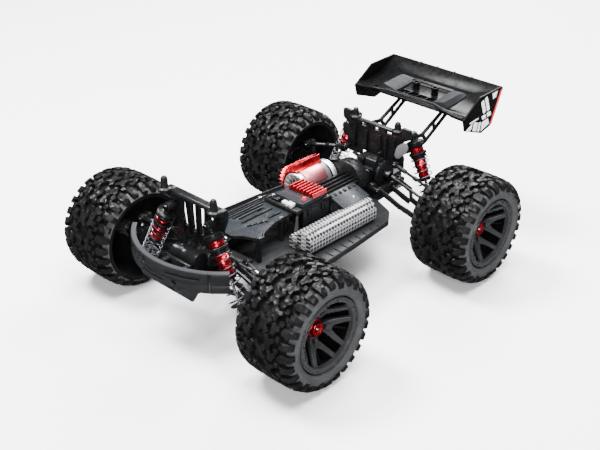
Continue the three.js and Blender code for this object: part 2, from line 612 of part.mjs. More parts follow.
function frontShockTower() {
  const [x0, x1] = [174, 177.6];
  const half = [
    [20.6, 100.6], [20.6, 90], [41, 90], [41, 102], [30, 106], [38, 128], [43, 140], [43, 152.6],
  ];
  const holes = [1, -1].flatMap((s) => [
    [[4, 108], [12, 108], [16, 144], [4, 144]],
    [[16, 110], [23, 112], [25.4, 128], [24.6, 144], [19, 144]],
  ].map((h) => h.map(([y, z]) => [s * y, z])));
  const sheet = perforated(mirrored(half), holes, x0, x1);
  const ledges = [1, -1].map((s) => box(x0, 193, s * 37 - 6, s * 37 + 6, 149, 152.6));
  const posts = [1, -1].map((s) => bodyPost(188, s * 36.8, 152.6, 15));
  const pins = [...shockPins(FRONT, x1, 1), ...linkPins(FRONT, x0 + 1, -1)];
  return join(sheet, ...ledges, ...posts, ...pins);
}

function rearShockTower() {
  const [x0, x1] = [-106, -101.6];
  const half = [
    [20.6, 104.4], [20.6, 97], [42, 97], [42, 112], [38, 118], [51, 138], [51, 149.5], [38, 149.5],
    [38, 143.3],
  ];
  const slot = [[8, 131], [21, 131], [21, 137], [8, 137]];
  const holes = [1, -1].map((s) => slot.map(([y, z]) => [s * y, z]));
  const sheet = perforated(mirrored(half), holes, x0, x1);
  const ledges = [1, -1].map((s) => box(-107.3, -98.5, s * 31.9 - 5, s * 31.9 + 5, 139, 143.3));
  const posts = [1, -1].map((s) => bodyPost(-103, s * 31.9, 143.3, 11.5));
  const pins = [...shockPins(REAR, x0, -1), ...linkPins(REAR, x1 - 1, 1)];
  return join(sheet, ...ledges, ...posts, ...pins);
}

// ---- Wing -----------------------------------------------------------------------------------
const WING_POSTS = { x: -195.8, y: 14 };

function wingMount() {
  const side = [
    [-107.6, 110], [-107.6, 131], [-150, 125], [-194, 146], [-202, 146], [-204, 138], [-158, 111],
    [-140, 106],
  ];
  const windows = [
    [[-113, 115], [-113, 125], [-134, 121.5], [-138, 111]],
    [[-160, 117], [-155, 123], [-182, 135.5], [-186, 132.5]],
  ];
  const arms = [-34, 30].map((y) =>
    cut(sidePlate(side, y, y + 4), ...windows.map((w) => sidePlate(w, y - 1, y + 5))));
  const ties = [barY(-147, -32, 32, 116, 2.6), box(-202, -190, -33, 33, 142, 146)];
  const posts = [1, -1].map((s) => barZ(WING_POSTS.x, s * WING_POSTS.y, 145, 154.6, 4));
  return join(...arms, ...ties, ...posts);
}

function wing() {
  const section = [
    [-161, 153], [-161, 156], [-166, 157.8], [-176, 156.4], [-190, 158.6], [-212, 165.4],
    [-236.5, 174], [-237.5, 171.6], [-212, 162.6], [-190, 155.6], [-176, 153.6], [-166, 154.6],
  ];
  const plate = [
    [-159.2, 153.6], [-163.5, 138.3], [-198.7, 124.9], [-219.7, 129.8], [-HALF_LENGTH, 171.8],
    [-236.6, 174.4], [-190.6, 173.3],
  ];
  const fin = [[-214, 163.6], [-235.6, 172.6], [-235, 174.6], [-222, 174.6]];
  const ends = [83.5, -81].map((y) => sidePlate(plate, y - 2.5, y));
  const fins = [-38.6, -13, 13, 38.6].map((y) => sidePlate(fin, y - 0.9, y + 0.9));
  const knobs = [1, -1].map((s) => barZ(WING_POSTS.x, s * WING_POSTS.y, 157, 165.7, 4.4));
  return join(sidePlate(section, -82, 82), ...ends, ...fins, ...knobs);
}

// ---- Assembly -------------------------------------------------------------------------------
piece("chassis_plate", chassisPlate(), BLACK);
piece("front_gearbox", frontGearbox(), BLACK);
piece("rear_gearbox", gearbox(REAR_AXLE_X, -1), BLACK);
piece("front_shock_tower", frontShockTower(), BLACK);
piece("rear_shock_tower", rearShockTower(), BLACK);
piece("front_bumper", frontBumper(), GREY);
piece("front_top_deck", frontDeck(), GREY);
piece("rear_gear_cover", gearCover(), BLACK);
piece("radio_box", radioBox(), BLACK);
piece("speed_controller", speedController(), BLACK);
piece("battery_pack", batteryPack(), SILVER);
piece("motor", motor(), SILVER);
piece("motor_heat_sink", motorHeatSink(), RED);
piece("motor_pinion", motorPinion(), STEEL);
piece("centre_drive_shaft", centreShaft(), STEEL);
piece("wing_mount", wingMount(), BLACK);
piece("wing", wing(), BLACK);
piece("steering_servo", steeringServo(), BLACK);
piece("servo_horn", servoHorn(), BLACK);
piece("steering_rack", steeringRack(), BLACK);
pair("tie_rod", tieRod(), STEEL);
pair("caster_block", casterBlock(FRONT), BLACK);
pair("steering_knuckle", steeringKnuckle(FRONT), BLACK);
pair("hub_carrier", hubCarrier(REAR), BLACK);
for (const end of [FRONT, REAR]) {
  pair(`lower_arm_${end.name}`, lowerArm(end), BLACK);
  pair(`camber_link_${end.name}`, camberLink(end), BLACK);
  pair(`shock_body_${end.name}`, shockBody(end), RED);
  pair(`shock_spring_${end.name}`, shockSpring(end), STEEL);
  pair(`shock_shaft_${end.name}`, shockShaft(end), BLACK);
  pair(`half_shaft_${end.name}`, halfShaft(end.x), STEEL);
  pair(`rim_${end.name}`, rim(end), GREY);
  pair(`tyre_${end.name}`, tyre(end), RUBBER);
}

export default truck;
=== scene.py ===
import json
import math
import random

import bmesh
import bpy
from mathutils import Matrix, Vector
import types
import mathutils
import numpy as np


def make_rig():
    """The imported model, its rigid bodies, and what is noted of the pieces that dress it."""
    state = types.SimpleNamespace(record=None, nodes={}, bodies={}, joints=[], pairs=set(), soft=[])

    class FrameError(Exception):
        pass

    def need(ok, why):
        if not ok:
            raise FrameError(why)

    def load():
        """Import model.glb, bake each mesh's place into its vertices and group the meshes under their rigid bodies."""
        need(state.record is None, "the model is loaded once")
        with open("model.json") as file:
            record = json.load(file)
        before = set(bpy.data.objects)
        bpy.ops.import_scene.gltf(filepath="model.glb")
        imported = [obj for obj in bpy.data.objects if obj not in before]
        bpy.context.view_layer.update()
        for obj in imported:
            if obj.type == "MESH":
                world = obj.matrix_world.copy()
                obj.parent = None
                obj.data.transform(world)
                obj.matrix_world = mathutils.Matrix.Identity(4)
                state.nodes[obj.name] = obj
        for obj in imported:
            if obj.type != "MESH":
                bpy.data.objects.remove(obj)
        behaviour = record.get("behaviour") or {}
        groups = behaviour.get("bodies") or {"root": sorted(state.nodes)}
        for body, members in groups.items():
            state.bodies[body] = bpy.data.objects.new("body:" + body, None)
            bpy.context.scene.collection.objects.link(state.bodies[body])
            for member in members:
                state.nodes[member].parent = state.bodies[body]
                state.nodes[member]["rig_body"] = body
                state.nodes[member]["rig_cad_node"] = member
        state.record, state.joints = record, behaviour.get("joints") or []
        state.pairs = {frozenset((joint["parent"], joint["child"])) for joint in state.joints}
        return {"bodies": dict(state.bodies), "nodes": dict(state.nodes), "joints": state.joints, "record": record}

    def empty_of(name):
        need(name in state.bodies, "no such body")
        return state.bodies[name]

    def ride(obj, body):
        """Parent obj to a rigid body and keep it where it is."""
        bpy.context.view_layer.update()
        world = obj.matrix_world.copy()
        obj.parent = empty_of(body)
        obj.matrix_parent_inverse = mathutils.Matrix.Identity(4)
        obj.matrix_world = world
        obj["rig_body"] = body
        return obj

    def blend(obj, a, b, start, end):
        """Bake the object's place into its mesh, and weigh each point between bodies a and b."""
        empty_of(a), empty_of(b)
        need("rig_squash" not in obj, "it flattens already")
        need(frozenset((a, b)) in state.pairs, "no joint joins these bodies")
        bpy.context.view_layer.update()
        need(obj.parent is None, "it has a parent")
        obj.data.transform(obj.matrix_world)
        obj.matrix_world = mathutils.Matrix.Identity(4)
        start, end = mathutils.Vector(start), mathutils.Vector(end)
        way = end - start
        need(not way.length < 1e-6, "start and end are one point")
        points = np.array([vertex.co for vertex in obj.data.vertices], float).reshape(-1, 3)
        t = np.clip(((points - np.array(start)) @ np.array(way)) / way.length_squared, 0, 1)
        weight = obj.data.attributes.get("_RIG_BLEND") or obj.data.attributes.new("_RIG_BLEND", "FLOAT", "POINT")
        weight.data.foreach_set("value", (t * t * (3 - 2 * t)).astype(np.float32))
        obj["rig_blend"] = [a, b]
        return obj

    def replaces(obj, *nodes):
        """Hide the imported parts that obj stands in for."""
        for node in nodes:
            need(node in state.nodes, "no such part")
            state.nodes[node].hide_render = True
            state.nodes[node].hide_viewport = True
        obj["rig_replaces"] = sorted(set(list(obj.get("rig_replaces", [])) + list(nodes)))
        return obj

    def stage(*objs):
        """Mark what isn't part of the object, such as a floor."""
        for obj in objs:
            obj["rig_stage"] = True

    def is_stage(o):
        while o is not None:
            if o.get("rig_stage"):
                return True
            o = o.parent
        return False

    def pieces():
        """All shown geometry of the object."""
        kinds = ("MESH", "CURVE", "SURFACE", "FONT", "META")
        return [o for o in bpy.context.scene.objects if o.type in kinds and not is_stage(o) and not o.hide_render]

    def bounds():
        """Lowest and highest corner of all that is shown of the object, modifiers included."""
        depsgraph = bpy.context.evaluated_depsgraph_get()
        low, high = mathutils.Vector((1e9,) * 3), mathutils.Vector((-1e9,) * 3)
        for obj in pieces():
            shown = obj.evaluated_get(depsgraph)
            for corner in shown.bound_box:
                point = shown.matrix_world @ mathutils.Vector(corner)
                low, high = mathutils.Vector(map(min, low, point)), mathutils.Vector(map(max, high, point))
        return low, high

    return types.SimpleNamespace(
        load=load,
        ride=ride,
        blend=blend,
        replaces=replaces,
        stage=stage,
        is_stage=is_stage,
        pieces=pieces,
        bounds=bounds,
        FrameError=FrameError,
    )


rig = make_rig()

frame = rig.load()
cad_box = [list(corner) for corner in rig.bounds()]
MM = 0.001
FORE, ACROSS, UP = (1, 0, 0), (0, 1, 0), (0, 0, 1)

# ---- Layout, in millimetres in the CAD's frame --------------------------------
FRONT_X, REAR_X = 168.0, -100.0
WHEEL_Y, AXLE_Z = 137.5, 62.5
ARM_PIVOT, ARM_END = (26.0, 72.0), (104.0, 44.0)
CENTRE_Y, DRIVE_Z = -6.0, 84.0
FOOT_Z, ON_PLATE = 62.9, 63.1           # legs and blocks start here, over the chassis plate
MOTOR_Y, MOTOR_Z = -34.5, 84.0
LINK_END = (102.0, 88.0)
ENDS = {
    "front": dict(x=FRONT_X, link=2.6, link_in=(36.0, 96.0),
                  shock=20.6, top=(30.0, 136.0), low=(74.0, 57.0), neck=8),
    "rear": dict(x=REAR_X, link=6.0, link_in=(38.0, 105.0),
                 shock=-18.0, top=(42.5, 136.0), low=(77.0, 58.0), neck=6),
}
SIDES = {"left": 1, "right": -1}


# ---- Materials ----------------------------------------------------------------
def new_material(name, color, rough, metal=0.0, specular=0.5, coat=0.0, coat_rough=0.2):
    m = bpy.data.materials.new(name)
    m.use_nodes = True
    b = m.node_tree.nodes["Principled BSDF"]
    for key, value in (("Base Color", (*color, 1)), ("Roughness", rough), ("Metallic", metal),
            ("Specular IOR Level", specular), ("Coat Weight", coat), ("Coat Roughness", coat_rough)):
        b.inputs[key].default_value = value
    return m, m.node_tree, b


def add_node(tree, kind, values, vector=None):
    """A shader node with its input values, and what feeds its vector."""
    node = tree.nodes.new("ShaderNode" + kind)
    for key, value in values.items():
        node.inputs[key].default_value = value
    if vector is not None:
        tree.links.new(vector, node.inputs["Vector"])
    return node


def own_coords(tree, stretch=(1, 1, 1), turn=(0, 0, 0)):
    """The piece's own coordinates, stretched and turned."""
    at = tree.nodes.new("ShaderNodeTexCoord").outputs["Object"]
    return add_node(tree, "Mapping", {"Scale": stretch, "Rotation": turn}, at).outputs["Vector"]


def noise_node(tree, scale, detail=4.0, stretch=(1, 1, 1), rough=0.6):
    """Noise in the piece's own coordinates; scale is features per metre."""
    values = {"Scale": scale, "Detail": detail, "Roughness": rough}
    return add_node(tree, "TexNoise", values, own_coords(tree, stretch)).outputs["Fac"]


def spread(tree, value, low, high, start=0.3, end=0.7):
    """The value's part between start and end, stretched to run from low to high."""
    r = add_node(tree, "MapRange", {"From Min": start, "From Max": end, "To Min": low, "To Max": high})
    tree.links.new(value, r.inputs["Value"])
    return r.outputs["Result"]


def mix_colors(tree, factor, a, b):
    m = tree.nodes.new("ShaderNodeMix")
    m.data_type = "RGBA"
    m.inputs["A"].default_value = (*a, 1)
    m.inputs["B"].default_value = (*b, 1)
    tree.links.new(factor, m.inputs["Factor"])
    return m.outputs["Result"]


def add_bump(tree, shader, height, distance, strength=1.0, under=None):
    bump = add_node(tree, "Bump", {"Strength": strength, "Distance": distance})
    tree.links.new(height, bump.inputs["Height"])
    if under is not None:
        tree.links.new(under, bump.inputs["Normal"])
    tree.links.new(bump.outputs["Normal"], shader.inputs["Normal"])
    return bump.outputs["Normal"]


def plastic(name, color, rough=0.42, grain=0.00006, specular=0.16, wear=0.35, coat=0.0):
    """Moulded nylon: fine spark-eroded grain, uneven sheen and faint handling marks."""
    m, t, b = new_material(name, color, rough, 0.0, specular, coat)
    broad = noise_node(t, 45, 3)
    lighter = tuple(c + (0.004 + c * 0.3) * wear for c in color)
    t.links.new(mix_colors(t, spread(t, broad, 0, 1), color, lighter), b.inputs["Base Color"])
    t.links.new(spread(t, noise_node(t, 160, 5), rough - 0.09, rough + 0.1), b.inputs["Roughness"])
    first = add_bump(t, b, noise_node(t, 2600, 2), grain)
    add_bump(t, b, noise_node(t, 240, 4), 0.00010, 0.35, first)
    return m


def metal(name, color, rough=0.28, stretch=(1, 1, 1), coat=0.0):
    """Machined metal: fine bumps, light stains and a varying polish."""
    m, t, b = new_material(name, color, rough, 1.0, 0.5, coat, 0.12)
    darker = tuple(c * 0.86 for c in color)
    t.links.new(mix_colors(t, spread(t, noise_node(t, 120, 5), 0, 1, 0.35, 0.75), color, darker),
        b.inputs["Base Color"])
    t.links.new(spread(t, noise_node(t, 500, 4), rough - 0.08, rough + 0.12), b.inputs["Roughness"])
    add_bump(t, b, noise_node(t, 900, 3, stretch), 0.00003, 0.6)
    return m


def rubber(name, color, rough, grain=0.00012, chunk=0.0):
    """Moulded tyre rubber: pebbled, dusty in places, with a soft highlight; chunk cuts broken facets."""
    m, t, b = new_material(name, color, rough, 0.0, 0.1)
    dusty = tuple(c * 1.5 + 0.002 for c in color)
    t.links.new(mix_colors(t, spread(t, noise_node(t, 60, 5), 0, 1, 0.4, 0.75), color, dusty),
        b.inputs["Base Color"])
    t.links.new(spread(t, noise_node(t, 210, 5), rough - 0.1, rough + 0.1), b.inputs["Roughness"])
    first = add_bump(t, b, noise_node(t, 1500, 3), grain, 0.7)
    under = add_bump(t, b, noise_node(t, 190, 4), 0.0004, 0.35, first)
    if chunk:
        cells = add_node(t, "TexVoronoi", {"Scale": 150}, own_coords(t))
        add_bump(t, b, cells.outputs["Distance"], chunk, 0.9, under)
    return m


BLACK = plastic("black_nylon", (0.0055, 0.0057, 0.0062), 0.3)
BLACK_FINE = plastic("black_fine_nylon", (0.004, 0.0042, 0.0046), 0.22, 0.00003)
# Painted reflection: the flat deck panels get a blue-grey lighter than the black nylon, standing for the light their
# black gloss reflects.
DECK_PAINTED_REFLECTION = plastic("deck_painted_reflection", (0.014, 0.016, 0.0185), 0.28)
CHASSIS = plastic("chassis_nylon", (0.011, 0.0115, 0.0125), 0.4)
BUMPER = plastic("bumper_nylon", (0.0085, 0.009, 0.0098), 0.34, 0.00005, 0.2)
# Painted highlight: a lighter grey for the upward-facing faces along the bumper's top, where light falls from above.
BUMPER_TOP_PAINTED_HIGHLIGHT = plastic("bumper_top_painted_highlight", (0.03, 0.032, 0.036), 0.36)
WING = plastic("wing_nylon", (0.0022, 0.0023, 0.0025), 0.26, 0.00003, 0.05)
WING_DARK = plastic("wing_ramp_nylon", (0.009, 0.0098, 0.0115), 0.62)
CASE = plastic("controller_case", (0.012, 0.0135, 0.016), 0.32)
GUARD = plastic("mud_guard", (0.11, 0.115, 0.12), 0.5)
RIM = plastic("rim_nylon", (0.02, 0.0205, 0.022), 0.22, 0.00003, 0.4)
RIM_DARK = plastic("rim_barrel_nylon", (0.003, 0.003, 0.0034), 0.45)
TREAD = rubber("tread_rubber", (0.0045, 0.0045, 0.0048), 0.34, chunk=0.0022)
SIDEWALL = rubber("sidewall_rubber", (0.03, 0.031, 0.0325), 0.46, 0.00006)
STEEL = metal("steel", (0.62, 0.63, 0.65), 0.25)
DARK_STEEL = metal("blackened_steel", (0.05, 0.05, 0.055), 0.34)
SPRING_WIRE = metal("spring_wire", (0.09, 0.09, 0.1), 0.3)
CHROME = metal("plated_steel", (0.85, 0.86, 0.88), 0.14)
RED = metal("red_anodised", (0.85, 0.02, 0.05), 0.22, coat=0.35)
RED_FIN = metal("red_fin_anodised", (0.9, 0.045, 0.07), 0.27, coat=0.3)
WHITE = plastic("white_nylon", (0.75, 0.76, 0.78), 0.4)
RED_PLASTIC = plastic("red_button", (0.6, 0.01, 0.03), 0.3, wear=0.1)
BLACK_RUBBER = rubber("soft_rubber", (0.012, 0.012, 0.012), 0.6)
CAN = metal("motor_can", (0.93, 0.92, 0.93), 0.4)
# Painted highlight: the saddle is pink, red anodising lightened to stand for a strong highlight on it.
SADDLE_PAINTED_HIGHLIGHT = metal("red_saddle_painted_highlight", (0.95, 0.3, 0.34), 0.36, coat=0.2)
WHITE_INK = plastic("white_ink", (0.72, 0.73, 0.75), 0.4, 0.00002, wear=0.2)
RED_INK = plastic("red_ink", (0.6, 0.008, 0.02), 0.35, 0.00002, wear=0.2)


def diamond_wrap():
    """Shrink wrap printed with small diamonds."""
    m, t, b = new_material("battery_wrap", (0.5, 0.5, 0.5), 0.3, 0.0, 0.6, 0.3)
    printed = {"Scale": 300, "Color1": (0.34, 0.34, 0.35, 1), "Color2": (0.012, 0.012, 0.013, 1)}
    check = add_node(t, "TexChecker", printed, own_coords(t, (1, 0.5, 1), (0, math.radians(45), 0)))
    t.links.new(check.outputs["Color"], b.inputs["Base Color"])
    first = add_bump(t, b, check.outputs["Fac"], 0.00012, 0.5)
    add_bump(t, b, noise_node(t, 300, 4), 0.0002, 0.4, first)
    t.links.new(spread(t, noise_node(t, 200, 4), 0.22, 0.4), b.inputs["Roughness"])
    return m


CELL_WRAP = diamond_wrap()
LABEL = plastic("silver_label", (0.6, 0.61, 0.62), 0.3, 0.00002, 0.3)


# ---- Mesh tools ---------------------------------------------------------------
def v(x, y, z):
    return Vector((x, y, z)) * MM


def smooth(obj, angle=35):
    mesh = obj.data
    mesh.polygons.foreach_set("use_smooth", [True] * len(mesh.polygons))
    mesh.set_sharp_from_angle(angle=math.radians(angle))


def in_scene(name, data):
    """A new object of that data, linked into the scene."""
    obj = bpy.data.objects.new(name, data)
    bpy.context.collection.objects.link(obj)
    return obj


def from_bmesh(name, bm, material, angle=35):
    bmesh.ops.recalc_face_normals(bm, faces=bm.faces)
    mesh = bpy.data.meshes.new(name)
    bm.to_mesh(mesh)
    bm.free()
    obj = in_scene(name, mesh)
    obj.data.materials.append(material)
    smooth(obj, angle)
    return obj


def round_edges(obj, width, segments=2, angle=40):
    """Rounds a piece's edges, by a width in millimetres."""
    mod = obj.modifiers.new("edge", "BEVEL")
    mod.width = width * MM
    mod.segments = segments
    mod.limit_method = "ANGLE"
    mod.angle_limit = math.radians(angle)
    mod.harden_normals = True
    return obj


def ring_stack(bm, rings, loop=False):
    """Skins a list of equal closed rings of points, in millimetres."""
    made = [[bm.verts.new(Vector(p) * MM) for p in ring] for ring in rings]
    pairs = list(zip(made, made[1:])) + ([(made[-1], made[0])] if loop else [])
    for a, b in pairs:
        n = len(a)
        for i in range(n):
            bm.faces.new((a[i], a[(i + 1) % n], b[(i + 1) % n], b[i]))
    if not loop:
        bm.faces.new(reversed(made[0]))
        bm.faces.new(made[-1])


def skin(name, stacks, material, angle=35):
    """A piece made of stacks of rings."""
    bm = bmesh.new()
    for rings in stacks:
        ring_stack(bm, rings)
    return from_bmesh(name, bm, material, angle)


def frame_to(axis):
    """A rotation that takes +Z to the axis."""
    return Vector(axis).normalized().to_track_quat("Z", "Y").to_matrix()


def turn_points(profile, origin, axis, sides):
    """Rings of points for a profile of (radius, distance) pairs along an axis from the origin."""
    rot = frame_to(axis)
    o = Vector(origin)
    rings = []
    for r, d in profile:
        ring = []
        for i in range(sides):
            a = 2 * math.pi * i / sides
            ring.append(o + rot @ Vector((r * math.cos(a), r * math.sin(a), d)))
        rings.append(ring)
    return rings


def add_turned(bm, profile, origin, axis, sides=32, loop=False):
    ring_stack(bm, turn_points(profile, origin, axis, sides), loop)


def turned(name, profile, origin, axis, material, sides=32, loop=False, angle=35):
    bm = bmesh.new()
    add_turned(bm, profile, origin, axis, sides, loop)
    return from_bmesh(name, bm, material, angle)


def there_and_back(points):
    """The points, then their mirror image in the second coordinate, backwards."""
    return points + [(a, -b) for a, b in reversed(points)]


def eyelet(name, r_in, r_edge, r, d_edge, d, at, axis, sides=28):
    """A chamfered ring of half width d; r_edge and d_edge are where its chamfer starts."""
    return turned(name, there_and_back([(r_in, -d), (r_edge, -d), (r, -d_edge)]), at, axis, BLACK, sides,
        loop=True)


def rod_profile(r, length, chamfer=0.3):
    c = min(chamfer, r * 0.4, length * 0.3)
    return [(r - c, 0), (r, c), (r, length - c), (r - c, length)]


def add_rod(bm, a, b, r, sides=16, chamfer=0.3):
    a, b = Vector(a), Vector(b)
    add_turned(bm, rod_profile(r, (b - a).length, chamfer), a, b - a, sides)


def rod(name, a, b, r, material, sides=20, chamfer=0.3):
    bm = bmesh.new()
    add_rod(bm, a, b, r, sides, chamfer)
    return from_bmesh(name, bm, material)


def add_box(bm, x0, x1, y0, y1, z0, z1, taper=0.0):
    """A moulded block; taper draws its top in, as a mould's draft does."""
    y0, y1 = sorted((y0, y1))
    ring = lambda t, z: [(x0 + t, y0 + t, z), (x1 - t, y0 + t, z), (x1 - t, y1 - t, z), (x0 + t, y1 - t, z)]
    ring_stack(bm, [ring(0, z0), ring(taper, z1)])


def block(name, x0, x1, y0, y1, z0, z1, material=BLACK, edge=0.6, taper=0.2):
    bm = bmesh.new()
    add_box(bm, x0, x1, y0, y1, z0, z1, taper)
    return round_edges(from_bmesh(name, bm, material), edge)


PLANES = {
    "flat": lambda u, w, d: (u, w, d),      # outline in X and Y, thickness along Z
    "cross": lambda u, w, d: (d, u, w),     # outline in Y and Z, thickness along X
    "side": lambda u, w, d: (u, d, w),      # outline in X and Z, thickness along Y
}


def plate(name, outline, lo, hi, plane, material, holes=(), edge=0.5, segments=2, angle=35):
    """A plate cut to an outline, with holes, and with rounded rims."""
    curve = bpy.data.curves.new(name, "CURVE")
    curve.dimensions = "2D"
    curve.fill_mode = "BOTH"
    for loop in [outline, *holes]:
        s = curve.splines.new("POLY")
        s.points.add(len(loop) - 1)
        for p, (a, b) in zip(s.points, loop):
            p.co = (a * MM, b * MM, 0, 1)
        s.use_cyclic_u = True
    bevel = min(edge, (hi - lo) * 0.45)
    curve.extrude = ((hi - lo) / 2 - bevel) * MM
    curve.bevel_depth = bevel * MM
    curve.bevel_resolution = segments - 1
    curve.offset = -bevel * MM
    holder = in_scene(name, curve)
    bpy.context.view_layer.update()
    mesh = bpy.data.meshes.new_from_object(holder.evaluated_get(bpy.context.evaluated_depsgraph_get()))
    bpy.data.objects.remove(holder)
    middle = (lo + hi) / 2 * MM
    put = PLANES[plane]
    for vert in mesh.vertices:
        vert.co = put(vert.co.x, vert.co.y, vert.co.z + middle)
    mesh.name = name
    bm = bmesh.new()
    bm.from_mesh(mesh)
    bmesh.ops.remove_doubles(bm, verts=bm.verts, dist=1e-6)
    return from_bmesh(name, bm, material, angle)


def oval(cx, cy, rx, ry, count=18):
    angles = [2 * math.pi * i / count for i in range(count)]
    return [(cx + rx * math.cos(a), cy + ry * math.sin(a)) for a in angles]


def circle(cx, cy, r, count=24):
    return oval(cx, cy, r, r, count)


def rounded(points, radius, steps=4):
    """The outline with its corners rounded."""
    out = []
    for i, point in enumerate(points):
        p = Vector(point)
        a = Vector(points[i - 1]) - p
        b = Vector(points[(i + 1) % len(points)]) - p
        cut = min(radius, a.length * 0.45, b.length * 0.45)
        s, e = p + a.normalized() * cut, p + b.normalized() * cut
        for k in range(steps + 1):
            t = k / steps
            out.append(tuple((1 - t) ** 2 * s + 2 * t * (1 - t) * p + t * t * e))
    return out


def mirror_y(points):
    return points + [(-y, z) for y, z in reversed(points)]


def join(name, objs):
    """Several pieces of one material as one mesh, with their modifiers applied."""
    bm = bmesh.new()
    graph = bpy.context.evaluated_depsgraph_get()
    materials = []
    bpy.context.view_layer.update()
    for o in objs:
        mesh = bpy.data.meshes.new_from_object(o.evaluated_get(graph))
        mesh.transform(o.matrix_world)
        slots = []
        for m in o.data.materials:
            if m not in materials:
                materials.append(m)
            slots.append(materials.index(m))
        for p in mesh.polygons:
            p.material_index = slots[p.material_index] if slots else 0
        bm.from_mesh(mesh)
        bpy.data.meshes.remove(mesh)
    mesh = bpy.data.meshes.new(name)
    bm.to_mesh(mesh)
    bm.free()
    for m in materials:
        mesh.materials.append(m)
    for o in objs:
        bpy.data.objects.remove(o)
    obj = in_scene(name, mesh)
    smooth(obj)
    return obj


def boolean_cut(obj, name, *tools):
    """Cuts tools out of a piece, one after the other, and returns it as a new one."""
    for tool in tools:
        mod = obj.modifiers.new("cut", "BOOLEAN")
        mod.object = tool
        mod.solver = "EXACT"
        obj = join(name, [obj])
        bpy.data.objects.remove(tool)
    return obj


def twin_of(obj, name, mesh):
    """A second piece with the first one's modifiers."""
    twin = in_scene(name, mesh)
    for mod in obj.modifiers:
        new = twin.modifiers.new(mod.name, mod.type)
        for key in ("width", "segments", "limit_method", "angle_limit", "harden_normals"):
            if hasattr(mod, key):
                setattr(new, key, getattr(mod, key))
    return twin


def mirrored(obj, name):
    """The piece's mirror image on the truck's other side, as a mesh of its own."""
    mesh = obj.data.copy()
    mesh.name = name
    mesh.transform(Matrix.Diagonal((1, -1, 1, 1)))
    mesh.flip_normals()
    return twin_of(obj, name, mesh)


# ---- Wheels: made once about their own centre, outer face towards +Y ----------
TREAD_BASE = [(0, 0, 57.6), (15, 15, 57.5), (26, 26, 56.9), (31.5, 31.2, 55.6), (36, 34.6, 52.9),
    (41, 36.3, 49.4)]
TREAD_TOP = [(0, 0, 62.5), (15, 15.3, 62.4), (26, 27, 61.7), (31.5, 33.2, 59.4), (36, 36.8, 55.8),
    (41, 37.3, 50.6)]
PITCHES = 14
RUN_R = 60
PITCH = 2 * math.pi * RUN_R / PITCHES
LUG_HEIGHT = 5
SPOKES, FIRST_SPOKE = 5, 201
BEAD_SCREWS = 15


def along(table, t):
    """The (across, radius) point of a tread profile at t."""
    for (t0, y0, r0), (t1, y1, r1) in zip(table, table[1:]):
        if t <= t1:
            k = (t - t0) / (t1 - t0)
            return Vector((y0 + (y1 - y0) * k, r0 + (r1 - r0) * k))
    return Vector(table[-1][1:])


def tread_point(s, t, h):
    """s runs round the tyre, t across it from its middle, h is the height over the carcass."""
    base, top = along(TREAD_BASE, abs(t)), along(TREAD_TOP, abs(t))
    p = base.lerp(top, h / LUG_HEIGHT)
    a = s / RUN_R
    return Vector((p.y * math.cos(a), p.x if t >= 0 else -p.x, p.y * math.sin(a))) * MM


# Tread blocks as (place round the tyre, place across it, outline), on one pitch of one side.
LUGS = [
    (0, 1.2, [(-10, -3), (-4.4, -5.4), (0.8, -2.4), (7.2, -6.6), (10.4, -3.2), (4.6, 0.9), (9, 6.2),
              (5.2, 8.8), (0.4, 3.8), (-5.2, 7.8), (-8.6, 4.6), (-4, 0.6)]),
    (13.6, 11.6, [(-5.6, -5), (-0.4, -2.6), (5.2, -6), (7.2, -2.2), (2.8, 1.2), (5, 6), (0.6, 6.8), (-2, 2.4),
                  (-6.6, 3.4), (-7.6, -0.6), (-3.4, -1.8)]),
    (0.8, 15.6, [(-5.8, -4.2), (-1, -2.8), (4, -4.8), (6, -1), (2.4, 1), (3.4, 5), (-0.8, 5.6), (-3.2, 1.6),
                 (-7, 1.6)]),
    (7.2, 21.6, [(-2.8, -2.6), (2.2, -3.2), (3.2, 0.8), (0.4, 2.8), (-3, 1.6)]),
    (-7.4, 21.4, [(-2.4, -2.8), (2.6, -1.8), (2.4, 1.6), (-1.2, 2.6), (-3, 0.4)]),
    (1.6, 0, [(-4.2, 24.6), (-0.4, 22.8), (3.4, 24.8), (4, 30), (3.3, 36), (3.7, 40.8), (-3.7, 40.8),
              (-3.3, 36), (-4.4, 30)]),
    (PITCH / 2 + 1.6, 0, [(-4, 26.2), (-1.6, 24), (0.4, 27.4), (3.2, 25.2), (4.2, 30.6), (3.2, 36),
                          (3.7, 38.8), (-3.7, 38.8), (-3.2, 36), (-4.2, 30.6)]),
]


def wheel_turned(name, profile, material, sides=32, **looks):
    """A turned piece about the wheel's own axle."""
    return turned(name, profile, (0, 0, 0), ACROSS, material, sides, **looks)


def area_of(points):
    """Twice the signed area of an outline."""
    return sum(a[0] * b[1] - b[0] * a[1] for a, b in zip(points, points[1:] + points[:1]))


